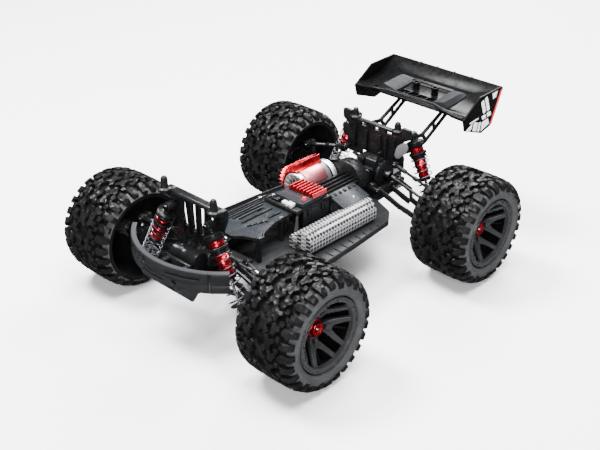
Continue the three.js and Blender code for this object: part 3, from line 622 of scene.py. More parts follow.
def tyre_mesh():
    rng = random.Random(7)
    unit = bmesh.new()
    for side in (1, -1):
        for s0, t0, outline in LUGS:
            if side < 0 and t0 == 1.2:
                continue
            pts = [(s0 + s + (PITCH / 2 if side < 0 else 0), (t0 + t) * side) for s, t in outline]
            if side < 0:
                pts.reverse()
            if area_of(pts) < 0:
                pts.reverse()
            centre = (sum(p[0] for p in pts) / len(pts), sum(p[1] for p in pts) / len(pts))
            grow = lambda p, k: (centre[0] + (p[0] - centre[0]) * k, centre[1] + (p[1] - centre[1]) * k)
            low = [unit.verts.new((*grow(p, 1.07), -0.5)) for p in pts]
            high = [unit.verts.new((*grow(p, 0.97), 5.0)) for p in pts]
            n = len(pts)
            for i in range(n):
                unit.faces.new((low[i], low[(i + 1) % n], high[(i + 1) % n], high[i]))
            top = unit.faces.new(high)
            bmesh.ops.bevel(unit, geom=list(top.edges), offset=0.55, segments=2, profile=0.6,
                affect="EDGES")
    bmesh.ops.triangulate(unit, faces=[f for f in unit.faces if len(f.verts) > 4])
    bmesh.ops.subdivide_edges(unit, edges=[e for e in unit.edges if e.calc_length() > 5], cuts=1)
    bmesh.ops.triangulate(unit, faces=[f for f in unit.faces if len(f.verts) > 4])
    unit.verts.ensure_lookup_table()
    bm = bmesh.new()
    for k in range(PITCHES):
        lift = rng.uniform(-0.05, 0.0)
        made = [bm.verts.new(tread_point(p.co.x + k * PITCH, p.co.y, p.co.z + (lift if p.co.z > 3 else 0)))
            for p in unit.verts]
        for f in unit.faces:
            bm.faces.new([made[p.index] for p in f.verts])
    unit.free()
    lugs = from_bmesh("tread", bm, TREAD, 30)
    # The carcass: outer sidewall with moulded rings, tread floor, inner bead and a hollow inside.
    profile = [(40.9, 33.2), (41.4, 34.6), (42.3, 35.6), (44.2, 36.3), (45.4, 36.4), (45.9, 36.9),
        (47.0, 37.0), (47.5, 36.6), (49.6, 36.4), (51.4, 35.9), (52.9, 34.8), (54.6, 33.0), (55.8, 31.0),
        (56.9, 26.0), (57.4, 20.0), (57.6, 10.0), (57.6, -10.0), (57.4, -20.0), (56.9, -26.0),
        (55.8, -31.0), (54.6, -33.0), (52.9, -34.8), (52.3, -36.4), (51.9, -37.0), (51.3, -37.2),
        (50.9, -36.6), (50.9, -31.2), (54.6, -24.0), (55.0, 0.0), (54.6, 24.0), (50.0, 33.0), (45.4, 30.2),]
    body = wheel_turned("carcass", profile, SIDEWALL, 96, loop=True, angle=50)
    body.data.materials.append(TREAD)
    for p in body.data.polygons:
        if math.hypot(p.center.x, p.center.z) > 0.0562 and p.normal.dot(Vector((p.center.x, 0,
                    p.center.z))) > 0:
            p.material_index = 1
    return join("tyre_master", [body, lugs])


def spoke_height(r):
    """How far out a spoke's face stands at radius r, from the wheel's middle plane."""
    steps = [(0, 13.4), (12, 13.6), (18, 16.4), (24, 21.6), (30, 27.6), (36, 33.0), (60, 33.0)]
    for (a, ya), (b, yb) in zip(steps, steps[1:]):
        if r <= b:
            return ya + (yb - ya) * (r - a) / (b - a)
    return 33.0


def rim_mesh():
    ring = wheel_turned("ring", [(34.2, 29.0), (34.2, 33.7), (34.7, 34.4), (35.4, 34.7), (39.0, 35.0),
            (39.6, 34.8), (39.9, 34.2), (40.2, 31.2), (41.0, 30.0), (38.0, 27.0)], RIM, 96, loop=True)
    lip = wheel_turned("lip", [(38.3, 35.02), (38.3, 35.10), (39.0, 35.10), (39.0, 35.02)], RIM, 96,
        loop=True)
    barrel = wheel_turned("barrel", [(34.2, 29.4), (38.0, 27.4), (41.0, 30.6), (43.6, 27.6), (47.4, -31.4),
            (49.9, -33.4), (50.0, -36.2), (49.6, -36.5), (46.8, -36.4), (46.4, -36.0), (41.6, 8.0),
            (36.6, 26.0)], RIM_DARK, 72, loop=True)
    half = [(7.2, 4.3), (9.6, 4.3), (12, 4.5), (13.8, 4.9), (15.5, 5.6), (17.2, 6.7), (19, 8.0),
        (21.5, 9.8), (24, 11.6), (26.2, 13.1), (28.5, 14.6), (30.7, 16.0), (32.9, 17.3), (34.0, 15.2),
        (34.9, 13.0), (32.4, 11.2), (30, 9.4), (28, 7.9), (26, 6.2), (24.4, 4.7), (23, 3.1), (22, 1.6)]
    outline = half + [(21.4, 0)] + [(u, -w) for u, w in reversed(half)]
    parts = [ring, lip, barrel]
    for k in range(SPOKES):
        spoke = plate("spoke", outline, -2.6, 2.6, "side", RIM, holes=[circle(15.4, 0, 2.5, 16)], edge=0.55)
        for vert in spoke.data.vertices:
            r = math.hypot(vert.co.x, vert.co.z) / MM
            vert.co.y += (spoke_height(r) - 2.6) * MM
        spoke.matrix_world = Matrix.Rotation(-math.radians(FIRST_SPOKE + 360 // SPOKES * k), 4, "Y")
        parts.append(spoke)
    hub = wheel_turned("hub", [(8.8, -9.4), (9.2, -9), (9.2, 10.2), (9.8, 11), (9.8, 13.2), (9.3, 13.7),
            (4.4, 13.7), (0, 13.7)], RIM, 40)
    floor = wheel_turned("floor", [(9, 8.2), (42.0, 3.4), (42.0, 1.4), (9, 6.0)], RIM_DARK, 48, loop=True)
    ribs = []
    for k in range(SPOKES):
        web = block("web", 9, 42, -1.2, 1.2, 0, 1, RIM_DARK, 0.2)
        for vert in web.data.vertices:
            x, y, z = vert.co
            r = math.hypot(x, y) / MM
            top = spoke_height(r) - 4.6
            vert.co = Vector((x, (top if z > 0.0005 else 2.0) * MM, y))
        web.matrix_world = Matrix.Rotation(-math.radians(FIRST_SPOKE + 360 // SPOKES * k), 4, "Y")
        ribs.append(web)
    return join("rim_master", parts + [hub, floor] + ribs)


def rim_screws_mesh():
    """The countersunk screws round the bead ring, each a dark dished head with a socket."""
    bm = bmesh.new()
    for k in range(BEAD_SCREWS):
        a = math.radians(9.2 + 360 // BEAD_SCREWS * k)
        c = (37.4 * math.cos(a), 34.0, 37.4 * math.sin(a))
        add_turned(bm, [(1.2, 0), (1.25, 0.6), (1.2, 1.0), (0.7, 1.02), (0.55, 0.5), (0.2, 0.45)], c,
            ACROSS, 12)
    return from_bmesh("rim_screws_master", bm, DARK_STEEL, 30)


def nut_mesh():
    """A flanged wheel nut with a six-sided collar, a plain flange and a sunk centre."""
    flange = wheel_turned("flange", [(5.6, 13.8), (9.9, 13.8), (10.3, 14.2), (10.3, 15.0), (9.9, 15.5),
            (8.2, 15.9), (7.4, 16.0), (5.6, 16.0)], RED, 60, loop=True)
    bm = bmesh.new()
    rings = turn_points([(8.4, 15.8), (8.4, 19.4), (7.8, 20.2)], (0, 0, 0), ACROSS, 6)
    inner = turn_points([(5.4, 20.2), (4.8, 19.6), (4.6, 16.0), (4.6, 14.4)], (0, 0, 0), ACROSS, 6)
    ring_stack(bm, rings + inner, loop=True)
    collar = round_edges(from_bmesh("collar", bm, RED, 25), 0.35)
    return join("nut_master", [flange, collar])


def tip_mesh():
    """The stub axle's threaded end, inside the nut."""
    turns = []
    for k in range(7):
        turns += [(2.35, 11.5 + k), (2.1, 12.0 + k)]
    return wheel_turned("tip_master", [(0.6, 11), *turns, (1.9, 18.8), (1.4, 19.4), (0.5, 19.4)], CHROME,
        24)


def hex_mesh():
    """The drive hexagon and stub axle behind the wheel."""
    bm = bmesh.new()
    add_turned(bm, [(5.6, -15.2), (6, -14.8), (6, -9.6), (5.6, -9.5)], (0, 0, 0), ACROSS, 6)
    shaft = rod("stub", (0, -34.4, 0), (0, -9, 0), 2.5, STEEL)
    return join("hex_master", [round_edges(from_bmesh("hexagon", bm, RED), 0.3), shaft])


def bake(obj):
    """Puts an object's placing into a mesh of its own."""
    bpy.context.view_layer.update()
    if obj.data.users > 1:
        obj.data = obj.data.copy()
    obj.data.transform(obj.matrix_world)
    obj.matrix_world = Matrix.Identity(4)
    return obj


masters = {"tyre": tyre_mesh(), "rim": rim_mesh(), "rim_screws": rim_screws_mesh(), "wheel_nut": nut_mesh(),
    "stub_axle_tip": tip_mesh(), "wheel_hex": hex_mesh()}
ROLL = {"front_left": 0.0, "front_right": 31.0, "rear_left": 14.0, "rear_right": 52.0}
for end, e in ENDS.items():
    for side, sign in SIDES.items():
        where = f"{end}_{side}"
        turn = Matrix.Rotation(0 if sign > 0 else math.pi, 4,
            "Z") @ Matrix.Rotation(math.radians(ROLL[where]), 4, "Y")
        place = Matrix.Translation(v(e["x"], sign * WHEEL_Y, AXLE_Z)) @ turn
        for kind, master in masters.items():
            whole = kind in ("tyre", "rim")
            piece = twin_of(master, f"{kind}_{where}{'_full' if whole else ''}", master.data)
            piece.matrix_world = place
            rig.ride(bake(piece), f"wheel_{where}")
            if whole:
                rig.replaces(piece, f"{kind}_{where}")
for master in masters.values():
    bpy.data.objects.remove(master)


# ---- Helpers for pieces that come in left and right hands ---------------------
def both(obj, name, body, node=None):
    """The left piece, made in place, and its mirror image on the right."""
    bake(obj)
    tail = "_full" if node else ""
    obj.name = f"{name}_left{tail}"
    twin = mirrored(obj, f"{name}_right{tail}")
    for o, side in ((obj, "left"), (twin, "right")):
        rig.ride(o, f"{body}_{side}")
        if node:
            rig.replaces(o, f"{node}_{side}")
    return obj, twin


def on_chassis(obj, *nodes):
    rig.ride(obj, "chassis")
    if nodes:
        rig.replaces(obj, *nodes)
    return obj


def hardware(name, rods=(), heads=(), material=STEEL):
    """Pins as (end, end, radius, sides) and screw heads as (point, axis, radius, height)."""
    bm = bmesh.new()
    for a, b, r, sides in rods:
        add_rod(bm, a, b, r, sides)
    for at, axis, r, height in heads:
        add_screw(bm, at, axis, r, height)
    return from_bmesh(name, bm, material)


def chassis_node(node, parts):
    """Joins parts as the chassis piece that stands for a CAD node."""
    return on_chassis(join(node + "_full", parts), node)


def lead(name, points, r):
    """A soft lead along points, fixed to the chassis."""
    curve = bpy.data.curves.new(name, "CURVE")
    curve.dimensions = "3D"
    curve.bevel_depth = r * MM
    curve.bevel_resolution = 4
    curve.resolution_u = 6
    curve.use_fill_caps = True
    path = curve.splines.new("NURBS")
    path.points.add(len(points) - 1)
    for p, q in zip(path.points, points):
        p.co = (*(Vector(q) * MM), 1)
    path.order_u = 3
    path.use_endpoint_u = True
    curve.materials.append(BLACK_RUBBER)
    holder = in_scene(name, curve)
    bpy.context.view_layer.update()
    mesh = bpy.data.meshes.new_from_object(holder.evaluated_get(bpy.context.evaluated_depsgraph_get()))
    bpy.data.objects.remove(holder)
    obj = in_scene(name, mesh)
    smooth(obj, 40)
    return on_chassis(obj)


def add_screw(bm, at, axis, r=2.6, height=1.6):
    """A button-head screw with a sunk socket."""
    outer = turn_points([(r, 0), (r, height * 0.35), (r * 0.86, height * 0.8), (r * 0.6, height)], at, axis,
        12)
    socket = turn_points([(r * 0.5, height), (r * 0.46, height * 0.25), (r * 0.1, height * 0.2)], at, axis,
        12)
    ring_stack(bm, outer + socket)


def screws(name, places, body="chassis", r=2.6, material=STEEL, height=1.6):
    """places is a list of (point, axis)."""
    bm = bmesh.new()
    for at, axis in places:
        add_screw(bm, at, axis, r, height)
    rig.ride(from_bmesh(name, bm, material, 30), body)


def upright_screws(name, points, r, height):
    """Steel screws in the chassis with their heads up."""
    screws(name, [(at, UP) for at in points], r=r, height=height)


def knurl_ring(name, r, r_in, d0, d1, origin, axis, material, teeth=24, depth=0.35):
    """A ring with a notched rim."""
    rot, o = frame_to(axis), Vector(origin)
    rings = []
    for radius, d, wavy in ((r_in, d0, 0), (r - 0.3, d0, 1), (r, d0 + 0.3, 1), (r, d1 - 0.3, 1),
            (r - 0.3, d1, 1), (r_in, d1, 0)):
        ring = []
        for i in range(teeth * 4):
            a = 2 * math.pi * i / (teeth * 4)
            rr = radius - (depth if wavy and i % 4 in (0, 1) else 0)
            ring.append(o + rot @ Vector((rr * math.cos(a), rr * math.sin(a), d)))
        rings.append(ring)
    bm = bmesh.new()
    ring_stack(bm, rings, loop=True)
    return from_bmesh(name, bm, material, 30)


def inset(points, d):
    """The outline moved inwards by a distance."""
    turn = 1 if area_of(points) > 0 else -1
    out = []
    for i, p in enumerate(points):
        a = (Vector(p) - Vector(points[i - 1])).normalized()
        b = (Vector(points[(i + 1) % len(points)]) - Vector(p)).normalized()
        n = Vector((-(a.y + b.y), a.x + b.x)) * turn
        n.normalize()
        reach = d / max(0.5, abs(n.dot(Vector((-a.y, a.x)))))
        out.append((p[0] + n.x * reach, p[1] + n.y * reach))
    return out


# ---- Dampers ------------------------------------------------------------------
for end, e in ENDS.items():
    x = e["x"] + e["shock"]
    top, low = Vector((x, *e["top"])), Vector((x, *e["low"]))
    L = (low - top).length
    axis = (low - top).normalized()
    at = lambda d: top + axis * d

    k = e["neck"]

    bush = eyelet("bush", 2.1, 4.2, 4.7, 4.2, 4.7, top, FORE)
    cap = turned("cap", [(1.0, 3.0), (4.1, 3.0), (4.3, k - 3.4), (4.0, k - 2.2), (4.2, k - 0.8),
            (5.4, k + 0.1), (8.9, k + 0.6), (9.9, k + 1.2), (10.1, k + 2.2), (9.5, k + 2.7), (9.5, k + 3.3),
            (10.1, k + 3.8), (10.1, k + 6.6), (9.6, k + 7.5), (1.0, k + 7.6)], top, axis, BLACK_FINE, 44)
    collar = knurl_ring("collar", 10.5, 6.0, k + 14.5, k + 17.3, top, axis, BLACK_FINE, 30)
    seat = turned("seat", [(6.0, k + 17.0), (8.4, k + 17.2), (8.4, k + 18.2), (9.0, k + 18.3),
            (9.3, k + 18.7), (9.3, k + 20.2), (9.0, k + 20.5), (6.0, k + 20.5)], top, axis, BLACK_FINE, 36,
        loop=True)
    foot = turned("foot", [(2.1, k + 44.4), (6.2, k + 44.5), (6.7, k + 45.0), (6.7, k + 48.4),
            (6.2, k + 48.9), (2.1, k + 48.9)], top, axis, BLACK_FINE, 28, loop=True)
    black = join(f"shock_cap_{end}", [bush, cap, collar, seat, foot])
    both(black, f"shock_cap_{end}", f"shock_{end}")

    threads = []
    for i in range(8):
        threads += [(7.5, k + 20.8 + i * 0.9), (7.15, k + 21.25 + i * 0.9)]
    body = turned("body", [(2.2, k + 7.6), (7.6, k + 7.7), (8.1, k + 8.2), (8.1, k + 10.6), (7.7, k + 10.9),
            (8.1, k + 11.2), (8.1, k + 13.6), (7.6, k + 14.1), (7.0, k + 14.6), (7.0, k + 20.4), *threads,
            (7.4, k + 28.4), (7.3, k + 32.4), (6.2, k + 32.8), (6.2, k + 34.2), (7.0, k + 34.6),
            (6.8, k + 38.6), (5.8, k + 39.0), (5.8, k + 40.4), (6.5, k + 40.8), (6.3, k + 44.0),
            (5.8, k + 44.4), (2.2, k + 44.4)], top, axis, RED, 44, loop=True)
    both(body, f"shock_body_{end}", f"shock_{end}", f"shock_body_{end}")

    rod_piece = rod("rod", at(k + 37.2), at(L - 4), 1.65, CHROME, 20)
    both(rod_piece, f"shock_rod_{end}", f"shaft_{end}")
    perch = turned("perch", [(1.8, L - 7.3), (9.4, L - 7.3), (10.1, L - 6.9), (10.1, L - 5.9),
            (9.5, L - 5.3), (5.0, L - 5.2), (4.0, L - 4.6), (3.0, L - 3.2), (1.8, L - 3.0)], top, axis,
        BLACK, 44, loop=True)
    eye = eyelet("eye", 2.7, 3.8, 4.2, 3.8, 4.5, low, FORE)
    both(join("lower", [perch, eye]), f"shock_perch_{end}", f"shaft_{end}", f"shock_shaft_{end}")
    ball = turned("ball", [(2.0, -4.5), (2.3, -4.5), (2.3, -1.9), (2.5, -1.1), (2.6, 0), (2.5, 1.1),
            (2.3, 1.9), (2.3, 4.5), (2.0, 4.5)], low, FORE, CHROME, 20, loop=True)
    both(ball, f"shock_ball_{end}", f"shaft_{end}")

    # The coil spring: closed end turns, open middle ones, a round wire.
    turns, r_coil, r_wire, s0, s1 = 7.4, 9.75, 0.66, k + 21.4, L - 8.1
    rot = frame_to(axis)
    steps = 190
    rings = []
    for i in range(steps + 1):
        t = i / steps
        pitch_t = max(0.0, min(1.0, (t - 0.09) / 0.82))
        d = s0 + (s1 - s0) * (0.03 * min(1, t / 0.09) + 0.94 * pitch_t + 0.03 * max(0, (t - 0.91) / 0.09))
        a = 2 * math.pi * turns * t
        radial = rot @ Vector((math.cos(a), math.sin(a), 0))
        centre = at(d) + radial * r_coil
        rings.append([centre + radial * (r_wire * math.cos(q)) + axis * (r_wire * math.sin(q))
                for q in (2 * math.pi * k / 8 for k in range(8))])
    bm = bmesh.new()
    ring_stack(bm, rings)
    coil = from_bmesh(f"shock_spring_{end}_left_coil", bm, SPRING_WIRE, 60)
    twin = mirrored(coil, f"shock_spring_{end}_right_coil")
    for o, side, sign in ((coil, "left", 1), (twin, "right", -1)):
        a, b = at(s0), at(s1)
        flip = lambda p: (p.x * MM, p.y * MM * sign, p.z * MM)
        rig.blend(o, f"shock_{end}_{side}", f"shaft_{end}_{side}", flip(a), flip(b))
        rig.replaces(o, f"shock_spring_{end}_{side}")


# ---- Lower arms, links, uprights and shafts -----------------------------------
DROOP = math.atan2(ARM_END[1] - ARM_PIVOT[1], ARM_END[0] - ARM_PIVOT[0])
ARM = math.hypot(ARM_END[0] - ARM_PIVOT[0], ARM_END[1] - ARM_PIVOT[1])
for end, e in ENDS.items():
    x = e["x"]
    s = 1 if e["shock"] > 0 else -1
    reach = abs(e["shock"])
    edge, recess = reach - 5.4, reach - 11.0
    flip = lambda pts: [(s * a, b) for a, b in pts]
    plan = flip(rounded([(-19.6, -1), (-19.6, 34), (-13.8, 68), (-13.8, ARM), (13.8, ARM), (13.8, 71),
            (edge, 65), (edge, 47.5), (recess, 46), (recess, 31), (19.6, 20), (19.6, -1)], 1.6))
    windows = [flip(rounded(w, 2)) for w in ([(-15.2, 6), (-1.6, 6), (-1.6, 32), (-12.6, 32)],
            [(1.6, 6), (15.4, 6), (15.4, 17), (4, 29.5), (1.6, 29.5)], [(-10.6, 36.5), (2.4, 36.5),
            (2.2, 63), (-7.6, 63)])]
    sheet = plate("sheet", plan, -2.4, 2.4, "flat", BLACK, windows, 0.8, 3)
    parts = [sheet]
    bm = bmesh.new()
    for u0, w0, u1, w1 in ((-18.2, 2, -18.2, 34), (18.2, 2, 18.2, 20), (-17.6, 34, -12.4, 68),
            (0, 4, 0, 33), (17.6, 19.6, recess - 1.4, 30.6), (recess - 1.5, 30.6, recess - 1.5, 46.4),
            (recess - 1.2, 47, edge - 1.6, 48.6), (edge - 1.6, 48.6, edge - 1.6, 65.4)):
        a, b = Vector((s * u0, w0, 0)), Vector((s * u1, w1, 0))
        across = (b - a).normalized().cross(Vector(UP)) * 1.1
        ring = lambda p: [p + across + Vector((0, 0, z)) for z in (-3.5, 3.5)] + [p - across
            + Vector((0, 0, z)) for z in (3.5, -3.5)]
        ring_stack(bm, [ring(a), ring(b)])
    parts.append(round_edges(from_bmesh("ribs", bm, BLACK), 0.4))
    parts.append(eyelet("inner", 1.7, 3.5, 3.9, 19.2, 19.7, (0, 0, 0), FORE))
    for a in (-13.9, 9.4):
        parts.append(turned("prong", [(1.5, a), (3.5, a), (3.9, a + 0.4), (3.9, a + 4.1), (3.5, a + 4.5),
                (1.5, a + 4.5)], (0, ARM, 0), FORE, BLACK, 28, loop=True))
        parts.append(block("prong_root", a, a + 4.5, 66, ARM, -3.4, 3.4, BLACK, 0.6, 0))
    # Clear the fork between the prongs.
    arm = boolean_cut(join("arm", parts), "arm", block("cutter", -9.3, 9.3, 71.8, 99, -9, 9, BLACK, 0, 0))
    arm.matrix_world = Matrix.Translation(v(x, *ARM_PIVOT)) @ Matrix.Rotation(DROOP, 4, "X")
    bake(arm)
    y, z = e["low"]
    xs = sorted((x + s * (reach - 9.6), x + s * (reach - 5.3)))
    tab = plate("tab", rounded([(y - 4.2, z - 5), (y + 7.8, z - 7.8), (y + 4.2, z + 2.6),
            (y + 1.8, z + 3.7), (y - 1.8, z + 3.7), (y - 4.2, z + 2)], 1.0), xs[0], xs[1], "cross", BLACK,
        edge=0.6)
    both(join("arm", [arm, tab]), f"lower_arm_{end}", f"arm_{end}", f"lower_arm_{end}")

    pins = [((x + s * (reach - 6), y, z), (x + s * (reach + 5.3), y, z), 1.25, 16),
        ((x - 14.2, *ARM_END), (x + 14.2, *ARM_END), 1.4, 16)]
    heads = [((x + s * (reach + 5.1), y, z), (s, 0, 0), 2.7, 1.2)]
    heads += [((x + q * 13.9, *ARM_END), (q, 0, 0), 2.4, 1.3) for q in (-1, 1)]
    both(hardware("pins", pins, heads), f"arm_pins_{end}", f"arm_{end}")

    # Upper link: threaded steel rod between two moulded ball ends.
    lx = x + e["link"]
    a, b = Vector((lx, *e["link_in"])), Vector((lx, *LINK_END))
    u = (b - a).normalized()
    parts = [rod("sleeve_a", a + u * 3, a + u * 17, 2.6, BLACK, 20, 0.6),
        rod("sleeve_b", b - u * 17, b - u * 3.4, 2.6, BLACK, 20, 0.6)]
    for p, r, bore in ((a, 4.0, 1.9), (b, 4.4, 2.9)):
        parts.append(eyelet("end", bore, r - 0.6, r, 2.2, 3, p, FORE))
    both(join("link", parts), f"camber_link_{end}", f"link_{end}", f"camber_link_{end}")
    threads = []
    n = int(((b - a).length - 30) / 0.8)
    for k in range(n):
        threads += [(1.75, 15 + k * 0.8), (1.5, 15.4 + k * 0.8)]
    mid = turned("rod", [(1.0, 14.6), *threads, (1.0, (b - a).length - 14.6)], a, u, DARK_STEEL, 16)
    hexa = turned("hexa", [(1.6, 28), (2.7, 28.2), (2.7, 33.8), (1.6, 34)], a, u, DARK_STEEL, 6)
    both(join("rod", [mid, hexa]), f"camber_rod_{end}", f"link_{end}")

    # Half shaft: a blackened steel rod with a ball at each end.
    inner = Vector((x, 30.5, DRIVE_Z))
    slope = (AXLE_Z - DRIVE_Z) / (106 - 30.5)
    outer = Vector((x, 97, DRIVE_Z + slope * (97 - 30.5)))
    u = (outer - inner).normalized()
    span = (outer - inner).length
    shaft = turned("shaft", [(0.8, 0.5), (2.9, 1.2), (3.2, 2.2), (3.0, 5.5), (2.2, 6.6), (1.8, 7.6),
            (1.7, span - 10), (2.1, span - 8.6), (2.2, span - 3), (1, span)], inner, u, DARK_STEEL, 24)
    both(shaft, f"half_shaft_{end}", f"half_shaft_{end}", f"half_shaft_{end}")
    bm = bmesh.new()
    for at_ball, r in ((inner, 3.0), (outer - u * 0.9, 2.2)):
        place = Matrix.Translation(at_ball * MM)
        bmesh.ops.create_uvsphere(bm, u_segments=20, v_segments=12, radius=r * MM, matrix=place)
    both(from_bmesh("balls", bm, DARK_STEEL), f"half_shaft_balls_{end}", f"half_shaft_{end}")

KINGPIN_Y = 106


def wheel_bearing(x):
    profile = [(2.8, 126.4), (7.0, 126.4), (7.0, 126.9), (5.9, 127.0), (5.7, 126.7), (3.9, 126.7),
        (3.8, 127.0), (2.8, 127.0)]
    return turned("bearing", profile, (x, 0, AXLE_Z), ACROSS, CHROME, 32, loop=True)


# Front uprights: the C-shaped block, its kingpin screws and the knuckle inside it.
x = FRONT_X
ear = rounded([(x - 8.8, 96.4), (x + 8.8, 96.4), (x + 8.2, 108), (x + 4, 112), (x - 4, 112),
        (x - 8.2, 108)], 2)
c = [block("back", x - 8.8, x + 8.8, 96, 99.5, 49.2, 76.8, BLACK, 1.0, 0),
    *(plate("ear", ear, z0, z1, "flat", BLACK, [circle(x, KINGPIN_Y, 2.2)], 0.7)
        for z0, z1 in ((49.1, 53.9), (71.3, 76.9))), eyelet("foot", 1.7, 3.6, 4, 8, 8.5, (x, *ARM_END),
        FORE), block("neck", x - 7.6, x + 7.6, 100.8, 107.2, 45.5, 50, BLACK, 0.6, 0),
    block("lug", x - 8.8, x - 2.5, 97.2, 106.6, 76, 91.8, BLACK, 1.2, 0.3)]
hole = turned("hole", [(6.8, 0), (6.8, 12)], (x, 92, AXLE_Z), ACROSS, BLACK, 28)
both(boolean_cut(join("caster", c), "caster", hole), "caster_block", "caster", "caster_block")
both(hardware("caster_screws", [((x - 3.4, *LINK_END), (x + 6.8, *LINK_END), 1.4, 16)],
        [((x, KINGPIN_Y, 76.6), UP, 3.2, 1.6), ((x, KINGPIN_Y, 49.4), (0, 0, -1), 2.4, 1.2),
        ((x - 8.7, *LINK_END), (-1, 0, 0), 2.6, 1.3)]), "caster_screws", "caster")
k = [turned("pin", [(1.2, 0), (5.4, 0), (5.7, 0.4), (5.7, 15.6), (5.4, 16), (1.2, 16)],
        (x, KINGPIN_Y, 54.6), UP, BLACK, 28), turned("boss", [(2.9, 2), (7.4, 2), (8, 2.8), (8, 17),
        (7.6, 18), (7.0, 18.5), (2.9, 18.5)], (x, 107.8, AXLE_Z), ACROSS, BLACK, 32, loop=True),
    plate("arm", rounded([(x, 102.6), (x, 109.4), (149, 108.8), (145.2, 107.6), (145.2, 104.4),
        (149, 103.2)], 1.4), 56.3, 59.5, "flat", BLACK, [circle(148, KINGPIN_Y, 1.3, 12)], 0.6)]
both(join("knuckle", k), "steering_knuckle", "knuckle", "steering_knuckle")
stud = rod("stud", (148, KINGPIN_Y, 46.6), (148, KINGPIN_Y, 57), 1.15, STEEL)
both(join("bearing", [wheel_bearing(x), stud]), "knuckle_bearing", "knuckle")

# Rear uprights.
x = REAR_X
h = [eyelet("foot", 1.7, 3.6, 4, 8, 8.5, (x, *ARM_END), FORE), block("neck", x - 7.6, x + 7.6, 100.4, 108.6,
        45.5, 56, BLACK, 0.8, 0.2), turned("boss", [(6.8, 99.2), (8.8, 99.2), (9.5, 99.9), (9.5, 108),
        (8.8, 109), (8.8, 124), (8.2, 126), (3.0, 126.3), (3.0, 105), (6.8, 104.4)], (x, 0, AXLE_Z), ACROSS,
        BLACK, 36, loop=True), block("lug", x - 5.4, x + 0.9, 98.2, 105.8, 68, 91.8, BLACK, 1.2, 0.3),
    block("rib", x - 1.2, x + 1.2, 104, 122, 68, 75, BLACK, 0.5, 0.2)]
both(join("carrier", h), "hub_carrier", "carrier", "hub_carrier")
both(hardware("carrier_screws", [((x, *LINK_END), (x + 10.2, *LINK_END), 1.4, 16)],
        [((x - 5.2, *LINK_END), (-1, 0, 0), 2.6, 1.4)]), "carrier_screws", "carrier")
both(wheel_bearing(x), "carrier_bearing", "carrier")


# ---- Steering -----------------------------------------------------------------
a, b = Vector((139.5, 31, 72)), Vector((148, KINGPIN_Y, 50))
u = (b - a).normalized()
parts = [eyelet("in", 1.75, 2.9, 3.4, 1.2, 1.8, a, FORE, 24), eyelet("out", 3.9, 4.8, 5.25, 1.3, 1.8, b,
        UP), rod("sa", a + u * 2.6, a + u * 14, 2.3, BLACK, 18, 0.5), rod("sb", b - u * 15, b - u * 4.6,
        2.0, BLACK, 18, 0.4)]
both(join("tie", parts), "tie_rod", "tie_rod", "tie_rod")
both(rod("tie_core", a + u * 12, b - u * 13, 1.6, STEEL), "tie_rod_core", "tie_rod")
rack = plate("rack", rounded([(133.5, -33.2), (137.1, -33.2), (137.1, -27.2), (142.1, -26.9), (142.1, 26.9),
        (137.1, 27.2), (137.1, 33.2), (133.5, 33.2)], 0.8), 70.1, 73.9, "flat", BLACK,
    [rounded([(135.3, -24.1), (140.3, -24.1), (140.3, -20.5), (135.3, -20.5)], 1.2)], 0.5)
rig.replaces(rack, "steering_rack")
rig.ride(rack, "rack")
pins = [((136.6, q * 31, 72), (142.2, q * 31, 72), 1.3, 14) for q in (-1, 1)]
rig.ride(hardware("rack_pins", pins), "rack")
horn = plate("horn", rounded([(109, -27.4), (117, -27.8), (140.2, -25), (140.2, -19.6), (117, -16.8),
        (109, -17.2)], 2.5), 84.5, 87.3, "flat", BLACK, [circle(123, -22.3, 1.1, 12),
        circle(129, -22.3, 1.1, 12)], 0.6)
pin = rod("pin", (138.4, -22.3, 70.7), (138.4, -22.3, 86), 1.4, BLACK)
horn = join("servo_horn_full", [horn, pin])
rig.replaces(horn, "servo_horn")
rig.ride(horn, "servo_arm")
screws("servo_horn_screw", [((114, -22.3, 87.1), UP)], "servo_arm", 2.6, STEEL, 0.8)
servo = [block("case_low", 82.2, 121.8, -31.8, -12.8, 63.2, 72.6, BLACK, 0.7, 0),
    block("case_mid", 82, 122, -32, -12.6, 73, 78.2, BLACK, 0.7, 0), block("flange", 76.2, 127.8, -31.8,
        -12.8, 74.2, 76.8, BLACK, 0.6, 0), block("lid", 82.4, 121.6, -31.6, -13, 78.5, 80),
    turned("boss", [(0.8, 79.5), (5.2, 79.5), (5, 82), (3.4, 82.3), (3.2, 84.2), (0.8, 84.2)],
        (114, -22.3, 0), UP, BLACK, 28)]
chassis_node("steering_servo", servo)
screws("servo_screws", [((q, w, 76.6), UP) for q in (79, 125) for w in (-28.6, -16)], r=2.2)


# ---- Chassis plate, gearboxes and drive shaft ---------------------------------
side = [(206, 24), (192, 26), (150, 26), (132, 40), (104, 66), (78, 84), (20, 80), (-40, 74), (-64, 56),
    (-76, 28), (-136, 24)]
outline = rounded(there_and_back(side), 3)
tray = plate("tray", outline, 60, 62.4, "flat", CHASSIS, edge=0.6)
wall = [(78, 84), (49, 82), (20, 80), (-10, 77), (-40, 74)]
bm = bmesh.new()
for q in (1, -1):
    rings = []
    for a, b in wall:
        rings.append([(a, q * b, 62), (a, q * b, 66.2), (a, q * (b - 0.5), 66.6), (a, q * (b - 1.4), 66.4),
                (a, q * (b - 2.2), 62)])
    ring_stack(bm, rings)
for q in (1, -1):
    for a in range(-28, 72, 12):
        add_box(bm, a - 0.7, a + 0.7, q * 66, q * 76, 62.2, 63.3, 0.2)
walls = from_bmesh("walls", bm, CHASSIS)
chassis_node("chassis_plate", [tray, walls])
under = [(a, b) for a in (186, 160, -90, -124) for b in (-14, 14)] + [(112, -36), (56, -36), (119, 27),
    (70, 12), (-8, 11), (-46, 11)]
